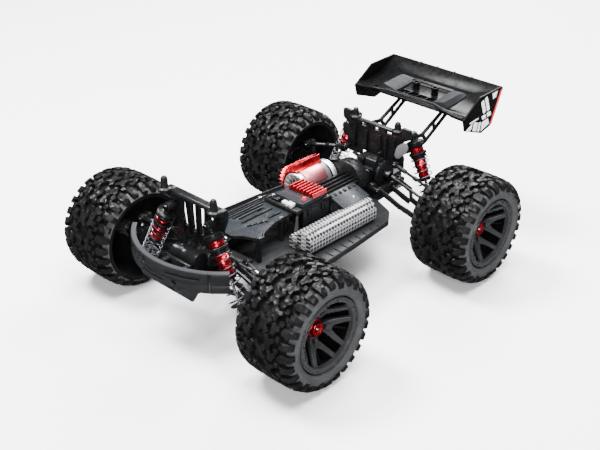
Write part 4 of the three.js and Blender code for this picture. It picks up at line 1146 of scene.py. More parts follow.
screws("chassis_screws", [((a, b, 60.9), (0, 0, -1)) for a, b in under], height=0.85)


def gearbox(node, x, nose):
    lo, hi = sorted((x - nose * 22, x + nose * 34))
    parts = [block("lower", lo + 0.2, hi - 0.2, -18.8, 18.8, ON_PLATE, 77.6, BLACK, 1.4, 0.6)]
    housing = there_and_back([(3, -20), (13.5, -20), (15.4, -19.2), (16.6, -17.6), (16.8, -14),
            (15.8, -13.4), (15.8, -1), (16.9, -0.6)])
    parts.append(turned("housing", housing, (x, 0, DRIVE_Z), ACROSS, BLACK, 48))
    top_hi = x + (5.4 if nose > 0 else 13.8)
    parts.append(block("top", x - 13.8, top_hi, -15.8, 15.8, DRIVE_Z, 103.8, BLACK, 1.2, 1.2))
    a, b = sorted((x - nose * 22, x))
    parts.append(block("neck", a + 0.2, b, -14.8, 11.8, 76, 93.8, BLACK, 1.8, 0.6))
    a, b = sorted((x - nose * 30, x - nose * 10))
    parts.append(turned("snout", rod_profile(4.7, b - a, 0.6), (a, CENTRE_Y, DRIVE_Z), FORE, BLACK, 28))
    for s in (1, -1):
        for q in (-24.5, 20.6):
            parts.append(block("lug", x + q, x + q + 3.9, s * 15, s * 29.6, 68.2, 75.8, BLACK, 1.2, 0))
        for q in (-9, 0, 9):
            parts.append(block("fin", x + q - 0.8, x + q + 0.8, s * 15, s * 18.4, 86, 101, BLACK, 0.3, 0.2))
    parts.append(block("ridge", x - 9, x + (5 if nose > 0 else 9), -2, 2, 103, 104, BLACK, 0.4, 0.2))
    chassis_node(node, parts)
    bm = bmesh.new()
    for s in (1, -1):
        add_turned(bm, [(2.2, 19.5), (5.6, 19.5), (6, 20), (6, 25.6), (5.4, 27), (3.6, 27), (3.4, 25),
                (1, 25)], (x, 0, DRIVE_Z), (0, s, 0), 28)
        add_rod(bm, (x - 24.2, s * 26, 72), (x + 24.2, s * 26, 72), 1.45, 14)
        for q in (-1, 1):
            add_screw(bm, (x + q * 24.2, s * 26, 72), (q, 0, 0), 2.2, 1.1)
            if nose < 0 or q < 0:
                add_screw(bm, (x + q * 9, s * 12, 103.2), UP, 2.0, 1.0)
    on_chassis(from_bmesh(node + "_full_metal", bm, DARK_STEEL))


gearbox("rear_gearbox", REAR_X, -1)
nose_box = [turned("nose", there_and_back([(2, -18.8), (9.2, -18.8), (10, -18), (10, -6.4), (9.6, -6)]),
        (192.4, 0, 90), ACROSS, BLACK_FINE, 48), block("nose_base", 182.6, 201.8, -18.6, 18.6, 76, 90,
        BLACK, 0.8, 0.3), block("rack_shelf", 134.8, 150, -9.8, 9.8, ON_PLATE, 69.4, BLACK, 0.6, 0.3)]
on_chassis(join("front_gearbox_nose", nose_box))
gearbox("front_gearbox", FRONT_X, 1)


GEAR_FACES = (-66.9, -61.1)


def toothed(name, teeth, y, z, phase, bore, body, node, material, web):
    """A gear wheel of module 1; web is the radius on which its lightening holes stand."""
    root, tip = teeth / 2 - 1.15, teeth / 2 + 0.85
    step = 2 * math.pi / teeth
    pts = []
    for i in range(teeth):
        for share, r in ((-0.33, root), (-0.12, tip), (0.12, tip), (0.33, root)):
            a = phase + (i + share) * step
            pts.append((y + r * math.cos(a), z + r * math.sin(a)))
    holes = [circle(y, z, bore)]
    if web:
        for q in (k * math.pi / 3 for k in range(6)):
            holes.append(circle(y + web * math.cos(q), z + web * math.sin(q), web * 0.32, 16))
    obj = plate(name, pts, *GEAR_FACES, "cross", material, holes, 0.15, 1)
    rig.ride(obj, body)
    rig.replaces(obj, node)


toothed("spur_gear", 40, CENTRE_Y, DRIVE_Z, math.pi, 2.4, "centre_drive", "centre_drive_shaft", BLACK_FINE,
    11)
toothed("motor_pinion_full", 17, MOTOR_Y, MOTOR_Z, math.pi / 17, 1.7, "pinion", "motor_pinion", STEEL, 0)
shaft = turned("shaft", [(1, -69.6), (2.3, -69.4), (2.5, -69), (2.5, 128), (3.2, 128.6), (3.4, 129.4),
        (3.4, 137), (3.0, 137.6), (1, 137.6)], (0, CENTRE_Y, DRIVE_Z), FORE, STEEL, 24)
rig.ride(shaft, "centre_drive")


# ---- Towers and body posts ----------------------------------------------------
def body_post(name, x, y, z, height):
    post = turned("post", [(1, -0.4), (6.6, -0.4), (7.0, 0.1), (7.0, 1.0), (6.4, 1.6), (4.4, 1.9),
            (3.8, 2.8), (3.7, height - 4.2), (3.4, height - 2.2), (2.6, height - 0.8), (1.4, height - 0.1),
            (0.5, height)], (x, y, z), UP, BLACK, 32)
    bm = bmesh.new()
    for k in range(6):
        a = k * math.pi / 3
        px, py = x + 3.5 * math.cos(a), y + 3.5 * math.sin(a)
        add_box(bm, px - 0.45, px + 0.45, py - 0.45, py + 0.45, z + 1.5, z + height - 3.5, 0.1)
    ribs = from_bmesh("ribs", bm, BLACK)
    return join(name, [post, ribs])


def tower_hardware(end, face, s):
    """Screws that hold the dampers and the upper links to the tower."""
    e = ENDS[end]
    at = e["x"] + e["shock"]
    bm, shoulders = bmesh.new(), bmesh.new()
    for q in (1, -1):
        y, z = q * e["top"][0], e["top"][1]
        add_rod(shoulders, (face, y, z), (at - s * 5.0, y, z), 3.2, 20)
        add_rod(bm, (face, y, z), (at + s * 5.6, y, z), 1.8, 16)
        add_screw(bm, (at + s * 5.3, y, z), (s, 0, 0), 3.1, 1.8)
        lx, ly, lz = e["x"] + e["link"], q * e["link_in"][0], e["link_in"][1]
        add_rod(bm, (face, ly, lz), (lx - s * 4.2, ly, lz), 1.5, 14)
        add_screw(bm, (lx - s * 3.6, ly, lz), (-s, 0, 0), 2.6, 1.2)
        add_screw(bm, (face, ly, lz), (s, 0, 0), 2.4, 1.2)
    on_chassis(from_bmesh(f"{end}_tower_screws", bm, DARK_STEEL))
    on_chassis(from_bmesh(f"{end}_tower_spacers", shoulders, BLACK))


half = [(20.6, 100.8), (20.6, 90.2), (40.8, 90.2), (40.8, 102), (30, 106), (37.8, 128), (42.8, 140),
    (42.8, 151.6)]
holes = []
for q in (1, -1):
    holes += [[(q * a, b) for a, b in rounded(w, 1.6)] for w in ([(3.2, 110), (7.4, 110), (9.4, 143),
            (3.2, 143)], [(16.4, 112), (20.8, 113), (23.0, 127), (22.2, 142), (19.2, 143)])]
sheet = plate("sheet", rounded(mirror_y(half), 2), 174.2, 177.5, "cross", BLACK, holes, 0.7, 3)
ribs = bmesh.new()
for y0, y1 in ((0, 0), (11.4, 15.2), (-11.4, -15.2), (24, 21.6), (-24, -21.6)):
    ring = lambda y, z: [(177.1, y - 1.0, z), (180.2, y - 0.8, z), (180.2, y + 0.8, z), (177.1, y + 1.0, z)]
    ring_stack(ribs, [ring(y0, 106), ring(y1, 145)] if abs(y0) < 20 else [ring(y0 * 0.86, 107),
            ring(y0 * 0.9, 121)])
ribs = round_edges(from_bmesh("ribs", ribs, BLACK), 0.3)
rail = block("rail", 174.4, 184.8, -42.6, 42.6, 147.2, 152.2, BLACK, 1.6, 0.5)
ledges = [block("ledge", 174.6, 192.8, q * 36.8 - 5.8, q * 36.8 + 5.8, 149.2, 152.4, BLACK, 1.2, 0.2)
    for q in (1, -1)]
lip = block("rail_lip", 175.4, 178.2, -31, 31, 151.4, 153.0, BLACK, 0.7, 0.2)
posts = [body_post("post", 188, q * 36.8, 152.8, 14.7) for q in (1, -1)]
chassis_node("front_shock_tower", [sheet, ribs, rail, lip] + ledges + posts)
tower_hardware("front", 177.4, 1)

half = [(20.6, 104.4), (20.6, 97.2), (41.8, 97.2), (41.8, 112), (36, 118), (40, 131), (50.8, 138),
    (50.8, 149.2), (38, 149.2), (38, 143.1)]
slots = [[(-3.2, 135), (6.0, 135), (6.0, 139.2), (-3.2, 139.2)], [(15.6, 135.6), (23.8, 135.6),
        (23.8, 139.8), (15.6, 139.8)], [(-22.8, 135), (-13.6, 135), (-13.6, 139.2), (-22.8, 139.2)]]
sheet = plate("sheet", rounded(mirror_y(half), 2), -106, -101.6, "cross", BLACK,
    [rounded(w, 0.6) for w in slots], 0.7, 3)
bm = bmesh.new()
for y in (-30, -11.6, 9, 18, 30):
    ring = lambda z: [(-102, y - 1.1, z), (-98.4, y - 0.8, z), (-98.4, y + 0.8, z), (-102, y + 1.1, z)]
    ring_stack(bm, [ring(106), ring(132)])
add_box(bm, -102, -99.2, -35, 35, 141.2, 143.2, 0.3)
ribs = round_edges(from_bmesh("ribs", bm, BLACK), 0.35)
pads = [block("pad", -107.2, -98.6, q * 27, q * 37, 139.2, 143.2, BLACK, 1.2, 0) for q in (1, -1)]
posts = [body_post("post", -103, q * 31.9, 143.3, 11.4) for q in (1, -1)]
chassis_node("rear_shock_tower", [sheet, ribs] + pads + posts)
tower_hardware("rear", -106, -1)
for q in (1, -1):
    pts = [(q * a, b) for a, b in rounded([(30, 112), (36, 109), (49, 122), (50.4, 130), (45.5, 134),
            (34, 126)], 5, 6)]
    guard = plate(f"mud_guard_{'left' if q > 0 else 'right'}", pts, -101.2, -99.8, "cross", GUARD if q > 0
        else BLACK, edge=0.4)
    on_chassis(guard)


# ---- Bumper -------------------------------------------------------------------
BUMPER_X, BAND_R = 138.5, 100           # the band is an arc of this radius about this X
HALF = math.asin(0.748)
section = [(99.2, 83.2), (99.9, 84.2), (99.98, 92.0), (99.5, 92.5), (99.5, 93.0), (99.98, 93.5),
    (99.98, 101.5), (99.4, 105.4), (98.6, 106.3), (95.0, 106.4), (94.2, 105.8), (94.2, 104.6),
    (95.6, 104.2), (96.4, 103), (96.4, 84.2), (97.0, 83.2)]
sweep = [HALF * (1 - 2 * i / 96) for i in range(97)]
band = skin("band", [[[(BUMPER_X + r * math.cos(a), r * math.sin(a), z) for r, z in section]
        for a in sweep]], BUMPER, 30)
band.data.materials.append(BUMPER_TOP_PAINTED_HIGHLIGHT)
# Upward-facing faces along the top take the lighter colour: a painted highlight from light falling from above.
for p in band.data.polygons:
    if p.center.z > 0.1058 and p.normal.z > 0.4:
        p.material_index = 1


def on_band(outline_yz, depth, out=1.4):
    """A cutter that follows the band's face: an outline in Y and Z pushed in from the front."""
    on_arc = [(math.asin(y / BAND_R), z) for y, z in outline_yz]
    rings = [[(BUMPER_X + r * math.cos(a), r * math.sin(a), z) for a, z in on_arc]
        for r in (BAND_R + out, BAND_R - depth)]
    return skin("pit", [rings], BLACK)


def slot_line(y0, y1, z, w, steps=8):
    """A level slot's outline, of half width w, with steps enough to bend round the band."""
    ys = [y0 + (y1 - y0) * i / steps for i in range(steps + 1)]
    return [(y, z - w) for y in ys] + [(y, z + w) for y in reversed(ys)]


pits = [on_band(oval(y, 98.2, 2.9, 4.3), 3.0) for y in (-41, -33, -25, -17)]
pits += [on_band(oval(26, 89.6, 2.8, 3.2), 3.0), on_band(slot_line(16, 52, 98.6, 0.9), 1.8),
    on_band(slot_line(-20, 14, 88.4, 0.9), 1.8), on_band(slot_line(-62, -46, 90, 1.6), 1.4),
    on_band([(-50, 94), (-47, 94), (-47, 103), (-50, 103)], 1.4), on_band([(59.2, 84), (60.8, 84),
        (60.8, 104), (59.2, 104)], 1.8), on_band([(-60.8, 84), (-59.2, 84), (-59.2, 104), (-60.8, 104)],
        1.8)]
band = boolean_cut(band, "band", *pits)
bm = bmesh.new()
top = [(BUMPER_X + 99.0 * math.cos(a), 99.0 * math.sin(a)) for a in (math.asin(0.50) * (1 - 2 * i / 32)
        for i in range(33))]
rows = []
for k in range(7):
    t = k / 6
    row = []
    for i, (px, py) in enumerate(top):
        f = i / 32
        bx, by = 222.5, 38 - 76 * f
        row.append((px + (bx - px) * t, py + (by - py) * t, 84 - 18 * t))
    rows.append(row)
outer = [[bm.verts.new(Vector(p) * MM) for p in row] for row in rows]
inner = [[bm.verts.new((Vector(p) - Vector((2.6, 0, 0))) * MM) for p in row] for row in rows]
for i in range(6):
    for j in range(32):
        if 1 <= i <= 4 and (5 <= j <= 11 or 21 <= j <= 27):
            continue
        bm.faces.new((outer[i][j], outer[i][j + 1], outer[i + 1][j + 1], outer[i + 1][j]))
        bm.faces.new((inner[i][j], inner[i + 1][j], inner[i + 1][j + 1], inner[i][j + 1]))
open_edges = [ed for ed in bm.edges if len(ed.link_faces) == 1]
pair_of = {a: b for ro, ri in zip(outer, inner) for a, b in zip(ro, ri)}
for ed in open_edges:
    a, b = ed.verts
    if a in pair_of and b in pair_of:
        bm.faces.new((a, b, pair_of[b], pair_of[a]))
skid = [[(223, y, 67.6), (219.5, y * 0.98, 65.9), (207.2, y * 0.55, 60.9), (207.2, y * 0.55, 64)]
    for y in (37.5, 20, 0, -20, -37.5)]
chin = [from_bmesh("chin", bm, BUMPER, 30), skin("skid", [skid], BUMPER)]
for y in (-14, 14):
    chin.append(block("stay", 203.2, 235.4, y - 2.8, y + 2.8, 84.4, 90.8, BLACK, 0.8, 0.2))
chin.append(block("bridge", 203.2, 207.4, -17.8, 17.8, ON_PLATE, 91.8, BLACK, 0.8, 0.2))
chassis_node("front_bumper", [band] + chin)
heads = [((BUMPER_X + 97.6 * math.cos(a), y, 88.6), (math.cos(a), math.sin(a), 0), 2.4, 1.4)
    for y, a in ((y, math.asin(y / BAND_R)) for y in (14, -14))]
on_chassis(hardware("bumper_screws", heads=heads, material=DARK_STEEL))


# ---- Decks, radio box, controller and battery ---------------------------------
def leg(x, y, top, r):
    return turned("leg", [(0.6, FOOT_Z), (r - 0.2, FOOT_Z), (r, FOOT_Z + 0.3), (r * 0.86, top)], (x, y, 0),
        UP, BLACK, 20)


corners = [(135.8, 4), (127.8, 11.8), (123.8, 21.8), (120, 30.6), (113, 29.8), (108, 23.8), (84, 15.8),
    (46.2, 13.8), (46.2, -33.8), (116, -33.8), (125.8, -25.8), (135.8, -12)]
plan = rounded(corners, 2.5)
slots = [rounded([(84, 5.2), (108, -2.6), (109.6, 0.2), (85.6, 8.0)], 1.2),
    rounded([(66, -20.5), (104, -20.5), (104, -16.5), (66, -16.5)], 1.8),
    rounded([(52, -30), (110, -30), (114, -28.4), (52, -27.4)], 0.9)]
# The deck's flat panel takes the blue-grey colour with painted reflection; its rim and ribs are black.
deck = plate("deck", plan, 88.1, 90.5, "flat", DECK_PAINTED_REFLECTION, slots, 0.6, 3)
rim = plate("deck_rim", plan, 88.6, 91.9, "flat", BLACK, [rounded(inset(corners, 2.0), 1.6)], 0.5)
parts = [deck, rim, block("rail", 46.2, 118, -36.8, -33.2, 84.2, 93.3, BLACK, 0.9, 0.3)]
for y in (-24, -10, 3):
    parts.append(block("rib", 62, 108 if y < 0 else 80, y - 1.4, y + 1.4, 90, 92.4, BLACK, 0.6, 0.4))
for x in (90, 96.5, 103):
    parts.append(block("tick", x - 0.6, x + 0.6, 5.6 - (x - 84) * 0.33 - 3.4, 5.6 - (x - 84) * 0.33 + 3.4,
            89.4, 91.2, DECK_PAINTED_REFLECTION, 0.3))
for x, y in ((119, 27), (112, -36), (56, -36), (70, 12)):
    parts.append(leg(x, y, 89, 3))
chassis_node("front_top_deck", parts)
upright_screws("deck_screws", [(119, 27, 90.4), (70, 12, 90.4), (112, -35, 93.1), (56, -35, 93.1),
        (129, -18, 90.4), (52, 10, 90.4)], 2.3, 1.3)

hood = turned("hood", [(5.6, -71.4), (23.2, -71.4), (23.9, -70.7), (23.9, -68.2), (24.1, -67.9),
        (24.1, -60.1), (23.9, -59.8), (23.9, -57.3), (23.2, -56.6), (5.6, -56.6), (5.6, -58.0),
        (22.3, -58.0), (22.3, -70.0), (5.6, -70.0)], (0, CENTRE_Y, DRIVE_Z), FORE, BLACK, 72, loop=True)
hood = boolean_cut(hood, "hood", block("low", -80, -50, -60, 60, 40, 80, BLACK, 0, 0),
    turned("hole", [(11.3, -76), (11.3, -48)], (0, MOTOR_Y, MOTOR_Z), FORE, BLACK, 40))
parts = [hood]
bm = bmesh.new()
for k in range(9):
    a = math.radians(22 + 12 * k)
    at_rib = (CENTRE_Y + 23.7 * math.cos(a), DRIVE_Z + 23.7 * math.sin(a))
    add_rod(bm, (-70.2, *at_rib), (-57.8, *at_rib), 0.6, 8)
parts.append(from_bmesh("hood_ribs", bm, BLACK))
# The lane's flat panel and the flank also take the blue-grey colour with painted reflection.
parts.append(plate("lane", rounded([(-56.8, -11.3), (-0.6, -11.3), (-0.6, 12.8), (-56.8, 12.8)], 1), 88.1,
        90.4, "flat", DECK_PAINTED_REFLECTION, [rounded([(-50, -6.5), (-14, -6.5), (-14, -4.2), (-50, -4.2)], 1),
        rounded([(-50, 7.2), (-10, 7.2), (-10, 8.8), (-50, 8.8)], 0.7)], 0.5))
for y in (-9, -2, 2.2, 5, 11):
    parts.append(block("lane_rib", -56.8, -2.2 if y != 2.2 else -20, y - 0.9, y + 0.9, 90, 93.9 if y != 2.2
            else 92, BLACK, 0.5, 0.2))
parts.append(plate("flank", [(12.2, 88.4), (19, 86.8), (37.8, 81.3), (37.8, 82.6), (20, 88.7),
        (12.2, 90.7)], -48.8, -4.2, "cross", DECK_PAINTED_REFLECTION, edge=0.3))
for k in range(6):
    parts.append(block("notch", -46 + 8 * k, -42.6 + 8 * k, 15.4, 19.6, 87.6, 90.6, BLACK, 0.4, 0.2))
parts += [leg(x, 11, 89, 2.5) for x in (-8, -46)]
chassis_node("rear_gear_cover", parts)
screws("cover_screws", [((-8, 9.2, 90.3), UP), ((-46, 9.2, 90.3), UP), ((-30, 30, 84.9), (0, 0.3, 0.95))],
    r=2.1, height=1.2)

shell = join("shell", [block("shell", 2.2, 54.8, -26.8, 21.8, 72.2, 93.2, CASE, 1.3, -0.3),
        block("rim", 0.6, 56.4, -28.4, 23.4, 92.4, 94.9, BLACK, 0.8, 0)])
shell = boolean_cut(shell, "shell", block("tunnel", -5, 60, CENTRE_Y - 6.1, CENTRE_Y + 6.1, 70, 92.1, BLACK,
        0, 0), block("front", 45.2, 60, -45, 40, 60, 91.7, BLACK, 0, 0))
parts = [shell, *(leg(x, y, 74, 3) for x in (8, 36) for y in (-22, 18)),
    block("edge_a", 48, 56.2, -28.2, -24.2, 94.6, 96.4), block("edge_b", 54.2, 56.2, -28.2, 23.2, 94.6,
        96.4), block("edge_c", 0.8, 56.2, 22.4, 23.2, 94.6, 96.4, BLACK, 0.3, 0),
    block("edge_d", 0.8, 48, -28.2, -22.6, 94.6, 95.9)]
for x in (12, 34):
    parts.append(block("latch", x, x + 5, 21.4, 24.2, 84, 92.8, BLACK, 0.6, 0.3))
chassis_node("radio_box", parts)
upright_screws("radio_box_screws", [(4, -25.4, 95.7), (45, -25.4, 95.7)], 1.9, 1.2)

case = [block("base", 6.2, 46.8, -21.8, 21.8, 95.5, 99.4, CASE, 0.9, 0.2),
    plate("top", rounded([(29.6, -16.6), (44.6, -21.2), (46.6, -19), (46.6, 21.4), (10, 21.6), (6.6, 21.4),
        (6.6, 17.6), (29.6, 17.6)], 1.2), 98.6, 101, "flat", CASE, edge=0.7, segments=3),
    block("sink_base", 6.4, 29.8, -16.8, 21.6, 98.8, 100.6, BLACK_FINE, 0.4, 0.1),
    block("switch", 47.3, 53.6, -19.6, -9.4, 95, 98.6, BLACK_FINE, 0.7, 0.3)]
chassis_node("speed_controller", case)
bm = bmesh.new()
for k in range(8):
    y = -14.2 + 4.9 * k
    ring = lambda x: [(x, y - 0.9, 100), (x, y + 0.9, 100), (x, y + 0.9, 105.6), (x, y + 0.5, 106),
        (x, y - 0.5, 106), (x, y - 0.9, 105.6)]
    ring_stack(bm, [ring(6.3), ring(28.8)])
on_chassis(round_edges(from_bmesh("controller_fins", bm, RED_FIN, 30), 0.15))
on_chassis(turned("set_button", [(1, 100.6), (2.7, 100.6), (2.7, 101.3), (2.2, 101.5), (2.2, 103.2),
        (1.8, 103.7), (0.5, 103.8)], (36.4, 14.6, 0), UP, RED_PLASTIC, 28))
plugs = [block("plug", 47.2, 54.0, 3.4, 11.8, 95.6, 99.6, WHITE, 0.5, 0.1),
    block("plug2", 47.2, 52.2, -4.6, 1.0, 95.4, 98.4, WHITE, 0.4, 0.1)]
for y in (5, 7.6, 10.2):
    plugs.append(block("key", 47.8, 53.6, y - 0.5, y + 0.5, 99.2, 100.1, WHITE, 0.15, 0))
on_chassis(join("lead_plugs", plugs))

section = [(28.2, ON_PLATE), (57.6, ON_PLATE), (60.8, 67.2), (60.8, 79.2), (55.4, 87.2), (50, 89.3),
    (45.6, 88.7), (38.6, 80), (28.2, 78)]
pack = plate("battery_pack_full", rounded(section, 3.2, 6), -34.8, 74.8, "cross", CELL_WRAP, edge=1.6,
    segments=4, angle=50)
on_chassis(pack, "battery_pack")
slope = Vector((61.0 - 55.5, 79.3 - 87.4)).normalized()
out = Vector((-slope.y, slope.x))
p, q = Vector((56.3, 86.35)) + out * 0.05, Vector((57.7, 84.3)) + out * 0.05
edge = [(c.x + out.x * t, c.y + out.y * t) for c, t in ((p, 0), (q, 0), (q, 0.35), (p, 0.35))]
on_chassis(round_edges(skin("battery_label", [[[(x, *c) for c in edge] for x in (-20, 62)]], LABEL), 0.1))
straps = [block("end_stop", 75.1, 78, 40, 56, 62.4, 70, BLACK, 0.8, 0.2),
    block("end_stop_b", -38.2, -35.2, 34, 56, 62.4, 70, BLACK, 0.8, 0.2)]
on_chassis(join("battery_stops", straps))

# Leads: three to the motor, two to the pack and one to the servo.
for k in range(3):
    y, z = -32 - 3 * k, 90 - 2 * k
    lead(f"motor_lead_{k}", [(9 + 5 * k, -21.4, 98), (9 + 5 * k, -25, 99.2 + k * 0.4),
            (5 + 3 * k, -30 - k, 99.6), (2.6, y + 0.5, 97 - k), (1.4, y, z + 3), (0.3, y, z)], 1.15)
for k in range(2):
    lead(f"pack_lead_{k}", [(50 - 3.4 * k, 18, 92), (55.5, 22, 90), (60, 25 + k * 2, 82),
            (68, 30 + k * 3, 74), (76.4, 35 + k * 4, 71.5), (77.4, 37 + k * 4, 71), (74.6, 38 + k * 4, 71)],
        1.25)
lead("servo_lead", [(84, -12.6, 66), (80, -8, 64.6), (66, 2, 64.4), (58, 8, 68), (56.8, 8, 90),
        (55.4, 7.6, 97), (53.8, 7.6, 97.8)], 0.75)


# ---- Motor and its heat sink --------------------------------------------------
can = turned("can", [(2.2, -58.3), (6.0, -58.3), (6.4, -57.8), (6.4, -56.2), (16.2, -56.0), (17.3, -55.6),
        (17.9, -54.6), (17.9, -48.4), (17.4, -48.2), (17.4, -45.4), (17.9, -45.2), (17.9, -2.0),
        (17.4, -0.8), (16.2, -0.2), (6.2, -0.4), (6.0, -0.9), (2.2, -0.9)], (0, MOTOR_Y, MOTOR_Z), FORE,
    CAN, 72)
bm = bmesh.new()
for k in range(14):
    a = 2 * math.pi * k / 14
    u, w = math.cos(a), math.sin(a)
    side = Vector((0, -w, u)) * 0.45
    mid = lambda r, x: Vector((x, MOTOR_Y + u * r, MOTOR_Z + w * r))
    ring_stack(bm, [[mid(r, -0.5) + t, mid(r, -0.5) - t, mid(r, -0.02) - t, mid(r, -0.02) + t]
            for r, t in ((7, side), (16, side * 1.8))])
feet = [block("foot", a, b, MOTOR_Y - 10.8, MOTOR_Y + 10.8, FOOT_Z, 72, BLACK, 0.8, 0.2)
    for a, b in ((-53.8, -49.2), (-4.8, -0.4))]
chassis_node("motor", [can, from_bmesh("spokes", bm, CAN)] + feet)
band = turned("motor_band", [(17.45, -48.0), (17.98, -47.8), (17.98, -45.7), (17.45, -45.5)],
    (0, MOTOR_Y, MOTOR_Z), FORE, BLACK_FINE, 72, loop=True)
on_chassis(band)
bm = bmesh.new()
add_turned(bm, [(0.4, -66.4), (1.5, -66.2), (1.6, -65.9), (1.6, -55)], (0, MOTOR_Y, MOTOR_Z), FORE, 20)
add_turned(bm, [(0.4, -1.6), (4.6, -1.6), (4.9, -1.2), (4.9, -0.1), (0.4, 0.0)], (0, MOTOR_Y, MOTOR_Z),
    FORE, 28)
on_chassis(from_bmesh("motor_shaft", bm, STEEL))

SINK_R = 18.65


def arc_band(r_out, first, sweep, steps):
    """A band round the motor from the heat sink's bore out to r_out; its angles are in degrees."""
    arc = [math.radians(first + sweep * i / steps) for i in range(steps + 1)]
    point = lambda r, a: (MOTOR_Y + r * math.cos(a), MOTOR_Z + r * math.sin(a))
    return [point(r_out, a) for a in arc] + [point(SINK_R, a) for a in reversed(arc)]


ring = plate("ring", arc_band(20.75, 88, 120, 40), -45.8, -1.2, "cross", RED_FIN, edge=0.3, angle=50)
bm = bmesh.new()
for k in range(9):
    a = math.radians(98 + 11 * k)
    u, w = Vector((0, math.cos(a), math.sin(a))), Vector((0, -math.sin(a), math.cos(a)))
    c = Vector((0, MOTOR_Y, MOTOR_Z))
    ring_ = lambda x: [c + Vector((x, 0, 0)) + u * r + w * t for r, t in ((19.6, -0.45), (26.9, -0.36),
            (27.3, -0.2), (27.3, 0.2), (26.9, 0.36), (19.6, 0.45))]
    ring_stack(bm, [ring_(-45.6), ring_(-1.4)])
fins = round_edges(from_bmesh("fins", bm, RED_FIN, 30), 0.12)
# The saddle band over the can is pink: a painted highlight on red anodising.
saddle = plate("saddle", arc_band(19.3, 20, 72, 24), -38, -7, "cross", SADDLE_PAINTED_HIGHLIGHT, edge=0.2, angle=50)
chassis_node("motor_heat_sink", [ring, fins, saddle])


# ---- Wing and its mount -------------------------------------------------------
side = [(-107.8, 110.2), (-107.8, 130.8), (-150, 124.8), (-194, 145.8), (-201.8, 145.8), (-203.8, 138),
    (-158, 111.2), (-140, 106.2)]
windows = [[(-112.4, 114.6), (-112.4, 125.6), (-134.6, 122.4), (-138.6, 110.6)],
    [(-143, 111.4), (-140, 121.4), (-150.4, 120.6), (-155, 114.6)], [(-159.4, 116.2), (-154.6, 122.4),
        (-170, 129.8), (-172.4, 124.2)], [(-176.4, 126.4), (-174, 131.8), (-190.4, 139.8), (-192.6, 136.0)]]
parts = []
for y in (-34, 30):
    parts.append(plate("arm", rounded(side, 2), y + 0.8, y + 3.2, "side", BLACK,
            [rounded(w, 1.6) for w in windows], 0.5))
    parts.append(plate("arm_rim", rounded(side, 2), y + 0.1, y + 3.9, "side", BLACK,
            [rounded(inset(side, 2.2), 1.6)], 0.5))
parts.append(turned("tie", [(1, -31.8), (2.5, -31.8), (2.5, 31.8), (1, 31.8)], (-147, 0, 116), ACROSS,
        BLACK, 24))
parts.append(block("saddle", -201.8, -190.2, -32.8, 32.8, 142.1, 145.8, BLACK, 0.8, 0.2))
for q in (1, -1):
    parts.append(turned("post", [(0.8, 145), (5.2, 145), (5.2, 146.6), (4, 147.6), (3.9, 154.2),
            (3.5, 154.5), (0.8, 154.5)], (-195.8, q * 14, 0), UP, BLACK, 28))
chassis_node("wing_mount", parts)
places = [((-111, q * 33.9, z), (0, q, 0)) for q in (1, -1) for z in (113, 127)] + [((-199, q * 33.9, 142),
        (0, q, 0)) for q in (1, -1)]
screws("wing_mount_screws", places, r=2.0, material=DARK_STEEL, height=1.0)

WING_TOP = [(-161.1, 155.8), (-162.4, 156.8), (-166, 157.2), (-176, 155.4), (-190, 155.9), (-206, 158.4),
    (-213, 161.6), (-236.4, 173.9)]


def wing_z(x):
    """Height of the wing's upper surface at x."""
    for (x0, z0), (x1, z1) in zip(WING_TOP, WING_TOP[1:]):
        if x1 <= x <= x0:
            return z0 + (z1 - z0) * (x - x0) / (x1 - x0)
    return WING_TOP[0][1]


section = [(-161.1, 153.2)] + WING_TOP + [(-237.3, 171.8), (-213, 158.9), (-206, 155.7), (-190, 153.2),
    (-176, 152.8), (-166, 153.9)]
blade = plate("blade", section, -81.6, 81.6, "side", WING, edge=0.25, angle=28)
tools = []
for y0, y1 in ((-26, -14), (-12.8, -0.6), (0.6, 12.8), (14, 26)):
    tools.append(block("pocket", -185.5, -169.6, y0, y1, 148, 170, WING, 0, 0))
for q in (1, -1):
    tools.append(block("slot", -172.6, -167, q * 52, q * 59, 140, 170, WING, 0, 0))
blade = boolean_cut(blade, "blade", *tools)
parts = [blade, plate("pocket_floor", [(-168.6, 151.8), (-168.6, 152.9), (-186.4, 153.0), (-186.4, 151.9)],
        -27.4, 27.4, "side", WING, edge=0.2)]
ramps = []
for q in (1, -1):
    rows = []
    for y, rise in ((27.6, 0.15), (30.4, 0.5), (45.6, 1.0), (50.6, 0.1)):
        rows.append([(-169.8, q * y, 155.0), (-170.8, q * y, 156.0 + 6.2 * rise),
                (-186, q * y, 156.2 + 6.6 * rise), (-203, q * y, 158.4 + 5.4 * rise),
                (-211, q * y, 161.2 + 1.4 * rise), (-212, q * y, 159.8)])
    ramps.append(rows)
parts.append(skin("ramps", ramps, WING_DARK, 25))
rows = []
for y, x in ((-50, -192), (-40, -203), (-29, -207), (29, -207), (40, -203), (50, -192)):
    z = wing_z(x)
    rows.append([(x + 2.6, y, z - 1.2), (x + 1.4, y, z + 1.0), (x - 0.6, y, z + 2.0), (x - 3.2, y, z + 2.6),
            (x - 7, y, wing_z(x - 7) - 0.4)])
parts.append(skin("step", [rows], WING, 50))
rows = []
for y, drop in ((-79, 0.7), (-77, 0), (-56, 0), (56, 0), (77, 0), (79, 0.7)):
    start = -226.6 if abs(y) > 60 else -215.5
    h = 0.9 - drop
    rows.append([(start, y, wing_z(start) - 0.4), (start - 1, y, wing_z(start - 1) + h),
            (-234, y, wing_z(-234) + h), (-235.2, y, wing_z(-235.2) - 0.4)])
parts.append(skin("flap", [rows], WING, 25))
for y in (-38.6, -13, 13, 38.6):
    parts.append(plate("fin", [(-227, 167.6), (-236.8, 171.4), (-238.1, 174.4), (-234.8, 174.5)], y - 0.85,
            y + 0.85, "side", WING, edge=0.3))
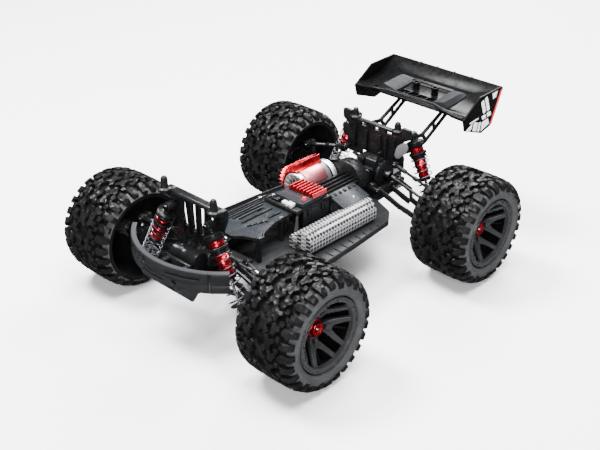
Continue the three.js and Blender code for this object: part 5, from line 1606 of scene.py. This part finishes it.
keel = ((-164, 154.6), (-176, 153.6), (-190, 154), (-206, 156.5), (-213, 159.7), (-230, 168.6))
under = [[[(x, y - 0.7, z), (x, y + 0.7, z), (x, y + 0.7, z - 2.2), (x, y - 0.7, z - 2.2)] for x, z in keel]
    for y in (-60, -41.5, -21, 0, 21, 41.5, 60)]
parts.append(skin("under_ribs", under, WING))
rows = []
for y, dx, dz in ((-80.8, 1.4, -2.6), (-66, 1.2, -2.2), (-56, 0.4, -0.4), (-48, 0, 0), (-34, -4.6, 0.2),
        (34, -4.6, 0.2), (48, 0, 0), (56, 0.4, -0.4), (66, 1.2, -2.2), (80.8, 1.4, -2.6)):
    c = (-163.4 + dx, 156.2 + dz)
    rows.append([(c[0] + 3.2 * math.cos(a), y, c[1] + 2.7 * math.sin(a))
            for a in (2 * math.pi * k / 14 for k in range(14))])
parts.append(skin("lip", [rows], WING, 50))
for q in (1, -1):
    parts.append(turned("knob", [(1.6, 154.6), (4.3, 154.6), (4.5, 158.2), (3.9, 159.6), (3.9, 161.6),
            (4.6, 162.2), (4.6, 165.0), (4.1, 165.6), (3.1, 165.6), (2.8, 165.2), (2.8, 160), (1.6, 159.6)],
            (-195.8, q * 14, 0), UP, WING, 32, loop=True))
ends = [(-159.4, 153.4), (-163.7, 138.4), (-198.7, 125.1), (-219.5, 130.0), (-238.2, 171.6),
    (-236.5, 174.2), (-190.6, 173.1)]
for y in (81.1, -83.4):
    parts.append(plate("end_plate", rounded(ends, 1), y, y + 2.3, "side", WING, edge=0.6, segments=3))
chassis_node("wing", parts)

# Painted shapes on the end plates: slanted bars, splinters and a stripe down the trailing edge.
bars = [[(-193, 166), (-198, 168.4), (-204.6, 152), (-199.6, 150)],
    [(-200.2, 169.2), (-205, 170.6), (-212.6, 152), (-207.4, 151)], [(-206.6, 148.6), (-214.2, 149.4),
        (-216.4, 144), (-208.6, 143.2)], [(-196.8, 147.6), (-204, 148.2), (-206, 143), (-198.6, 142.6)],
    [(-166, 139), (-179, 144.6), (-177, 137.4), (-170, 134.8)], [(-181.6, 144.8), (-190, 141.6),
        (-187, 131.4), (-179.6, 134.4)], [(-192, 141.4), (-196.4, 140.6), (-193.6, 129.2), (-189.4, 130.8)],
    [(-198.4, 139.8), (-210.4, 141), (-213.6, 133.4), (-197, 128.4)],
    [(-172, 146.4), (-190, 148), (-189.4, 146.2), (-173.6, 144.9)], [(-215.6, 170.8), (-226.4, 171.6),
        (-223.6, 164.6), (-218, 163.2)]]
stripe = [(-236.9, 171.9), (-233.0, 171.9), (-214.6, 130.2), (-218.8, 130.9)]
for q, side_name in ((1, "left"), (-1, "right")):
    y0, y1 = sorted((q * 83.36, q * 83.5))
    marks = [plate("mark", m, y0, y1, "side", WHITE_INK, edge=0.02, segments=1) for m in bars]
    on_chassis(join(f"wing_marks_{side_name}", marks))
    on_chassis(plate(f"wing_stripe_{side_name}", stripe, y0, y1, "side", RED_INK, edge=0.02, segments=1))


# ---- Bracket over the rear gearbox --------------------------------------------
path = [(-16.6, 109), (-8.7, 106), (1.0, 106.4), (-1.2, 95.4), (16, 95.4), (22.0, 111), (23.8, 121)]
rings = []
for i, p in enumerate(path):
    a = Vector(path[max(0, i - 1)]) if i else Vector(p) * 2 - Vector(path[1])
    b = Vector(path[min(len(path) - 1, i + 1)]) if i < len(path) - 1 else Vector(p) * 2 - Vector(path[-2])
    n = (b - a).normalized()
    n = Vector((-n.y, n.x)) * 0.8
    over, below = (p[0] + n.x, p[1] + n.y), (p[0] - n.x, p[1] - n.y)
    rings.append([(-84.6, *over), (-79.4, *over), (-79.4, *below), (-84.6, *below)])
on_chassis(round_edges(skin("rear_bracket", [rings], BLACK), 0.4))


# ---- Floor, light and camera --------------------------------------------------
def build_stage():
    bm = bmesh.new()
    bmesh.ops.create_grid(bm, x_segments=1, y_segments=1, size=6)
    floor = from_bmesh("floor", bm, plastic("floor_paper", (0.99, 0.991, 0.993), 0.7, wear=0.0))
    floor.visible_glossy = False
    lights = []
    for name, pos, size, power, aim in (("key", (0.5, -1.0, 2.0), 0.7, 150, (0, 0, 0.05)),
            ("fill", (1.7, 1.3, 1.2), 0.9, 60, (0.1, 0.1, 0.05)), ("back", (-1.6, -0.6, 1.4), 1.0, 90,
                (0, 0, 0.1)), ("top", (0.0, 0.3, 2.2), 1.3, 150, (0, 0, 0)),):
        data = bpy.data.lights.new(name, "AREA")
        data.size = size
        data.energy = power
        lamp = bpy.data.objects.new(name, data)
        lamp.location = pos
        lamp.rotation_euler = (Vector(aim) - Vector(pos)).to_track_quat("-Z", "Y").to_euler()
        bpy.context.collection.objects.link(lamp)
        lights.append(lamp)
    world = bpy.data.worlds.new("studio")
    world.use_nodes = True
    world.node_tree.nodes["Background"].inputs["Color"].default_value = (0.93, 0.95, 1.0, 1)
    world.node_tree.nodes["Background"].inputs["Strength"].default_value = 0.2
    bpy.context.scene.world = world
    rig.stage(floor, *lights)


def build_camera():
    data = bpy.data.cameras.new("camera")
    data.lens = 61.84
    data.sensor_width = 36
    cam = bpy.data.objects.new("camera", data)
    cam.location = (0.76817, 0.70134, 0.63043)
    aim = Vector((0.24926, 0.20994, 0.23048)) - cam.location
    cam.rotation_euler = aim.to_track_quat("-Z", "Y").to_euler()
    bpy.context.collection.objects.link(cam)
    bpy.context.scene.camera = cam


build_stage()
build_camera()
with open("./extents.json", "w") as out:
    json.dump({"cad": cad_box, "visual": [list(corner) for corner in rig.bounds()]}, out)
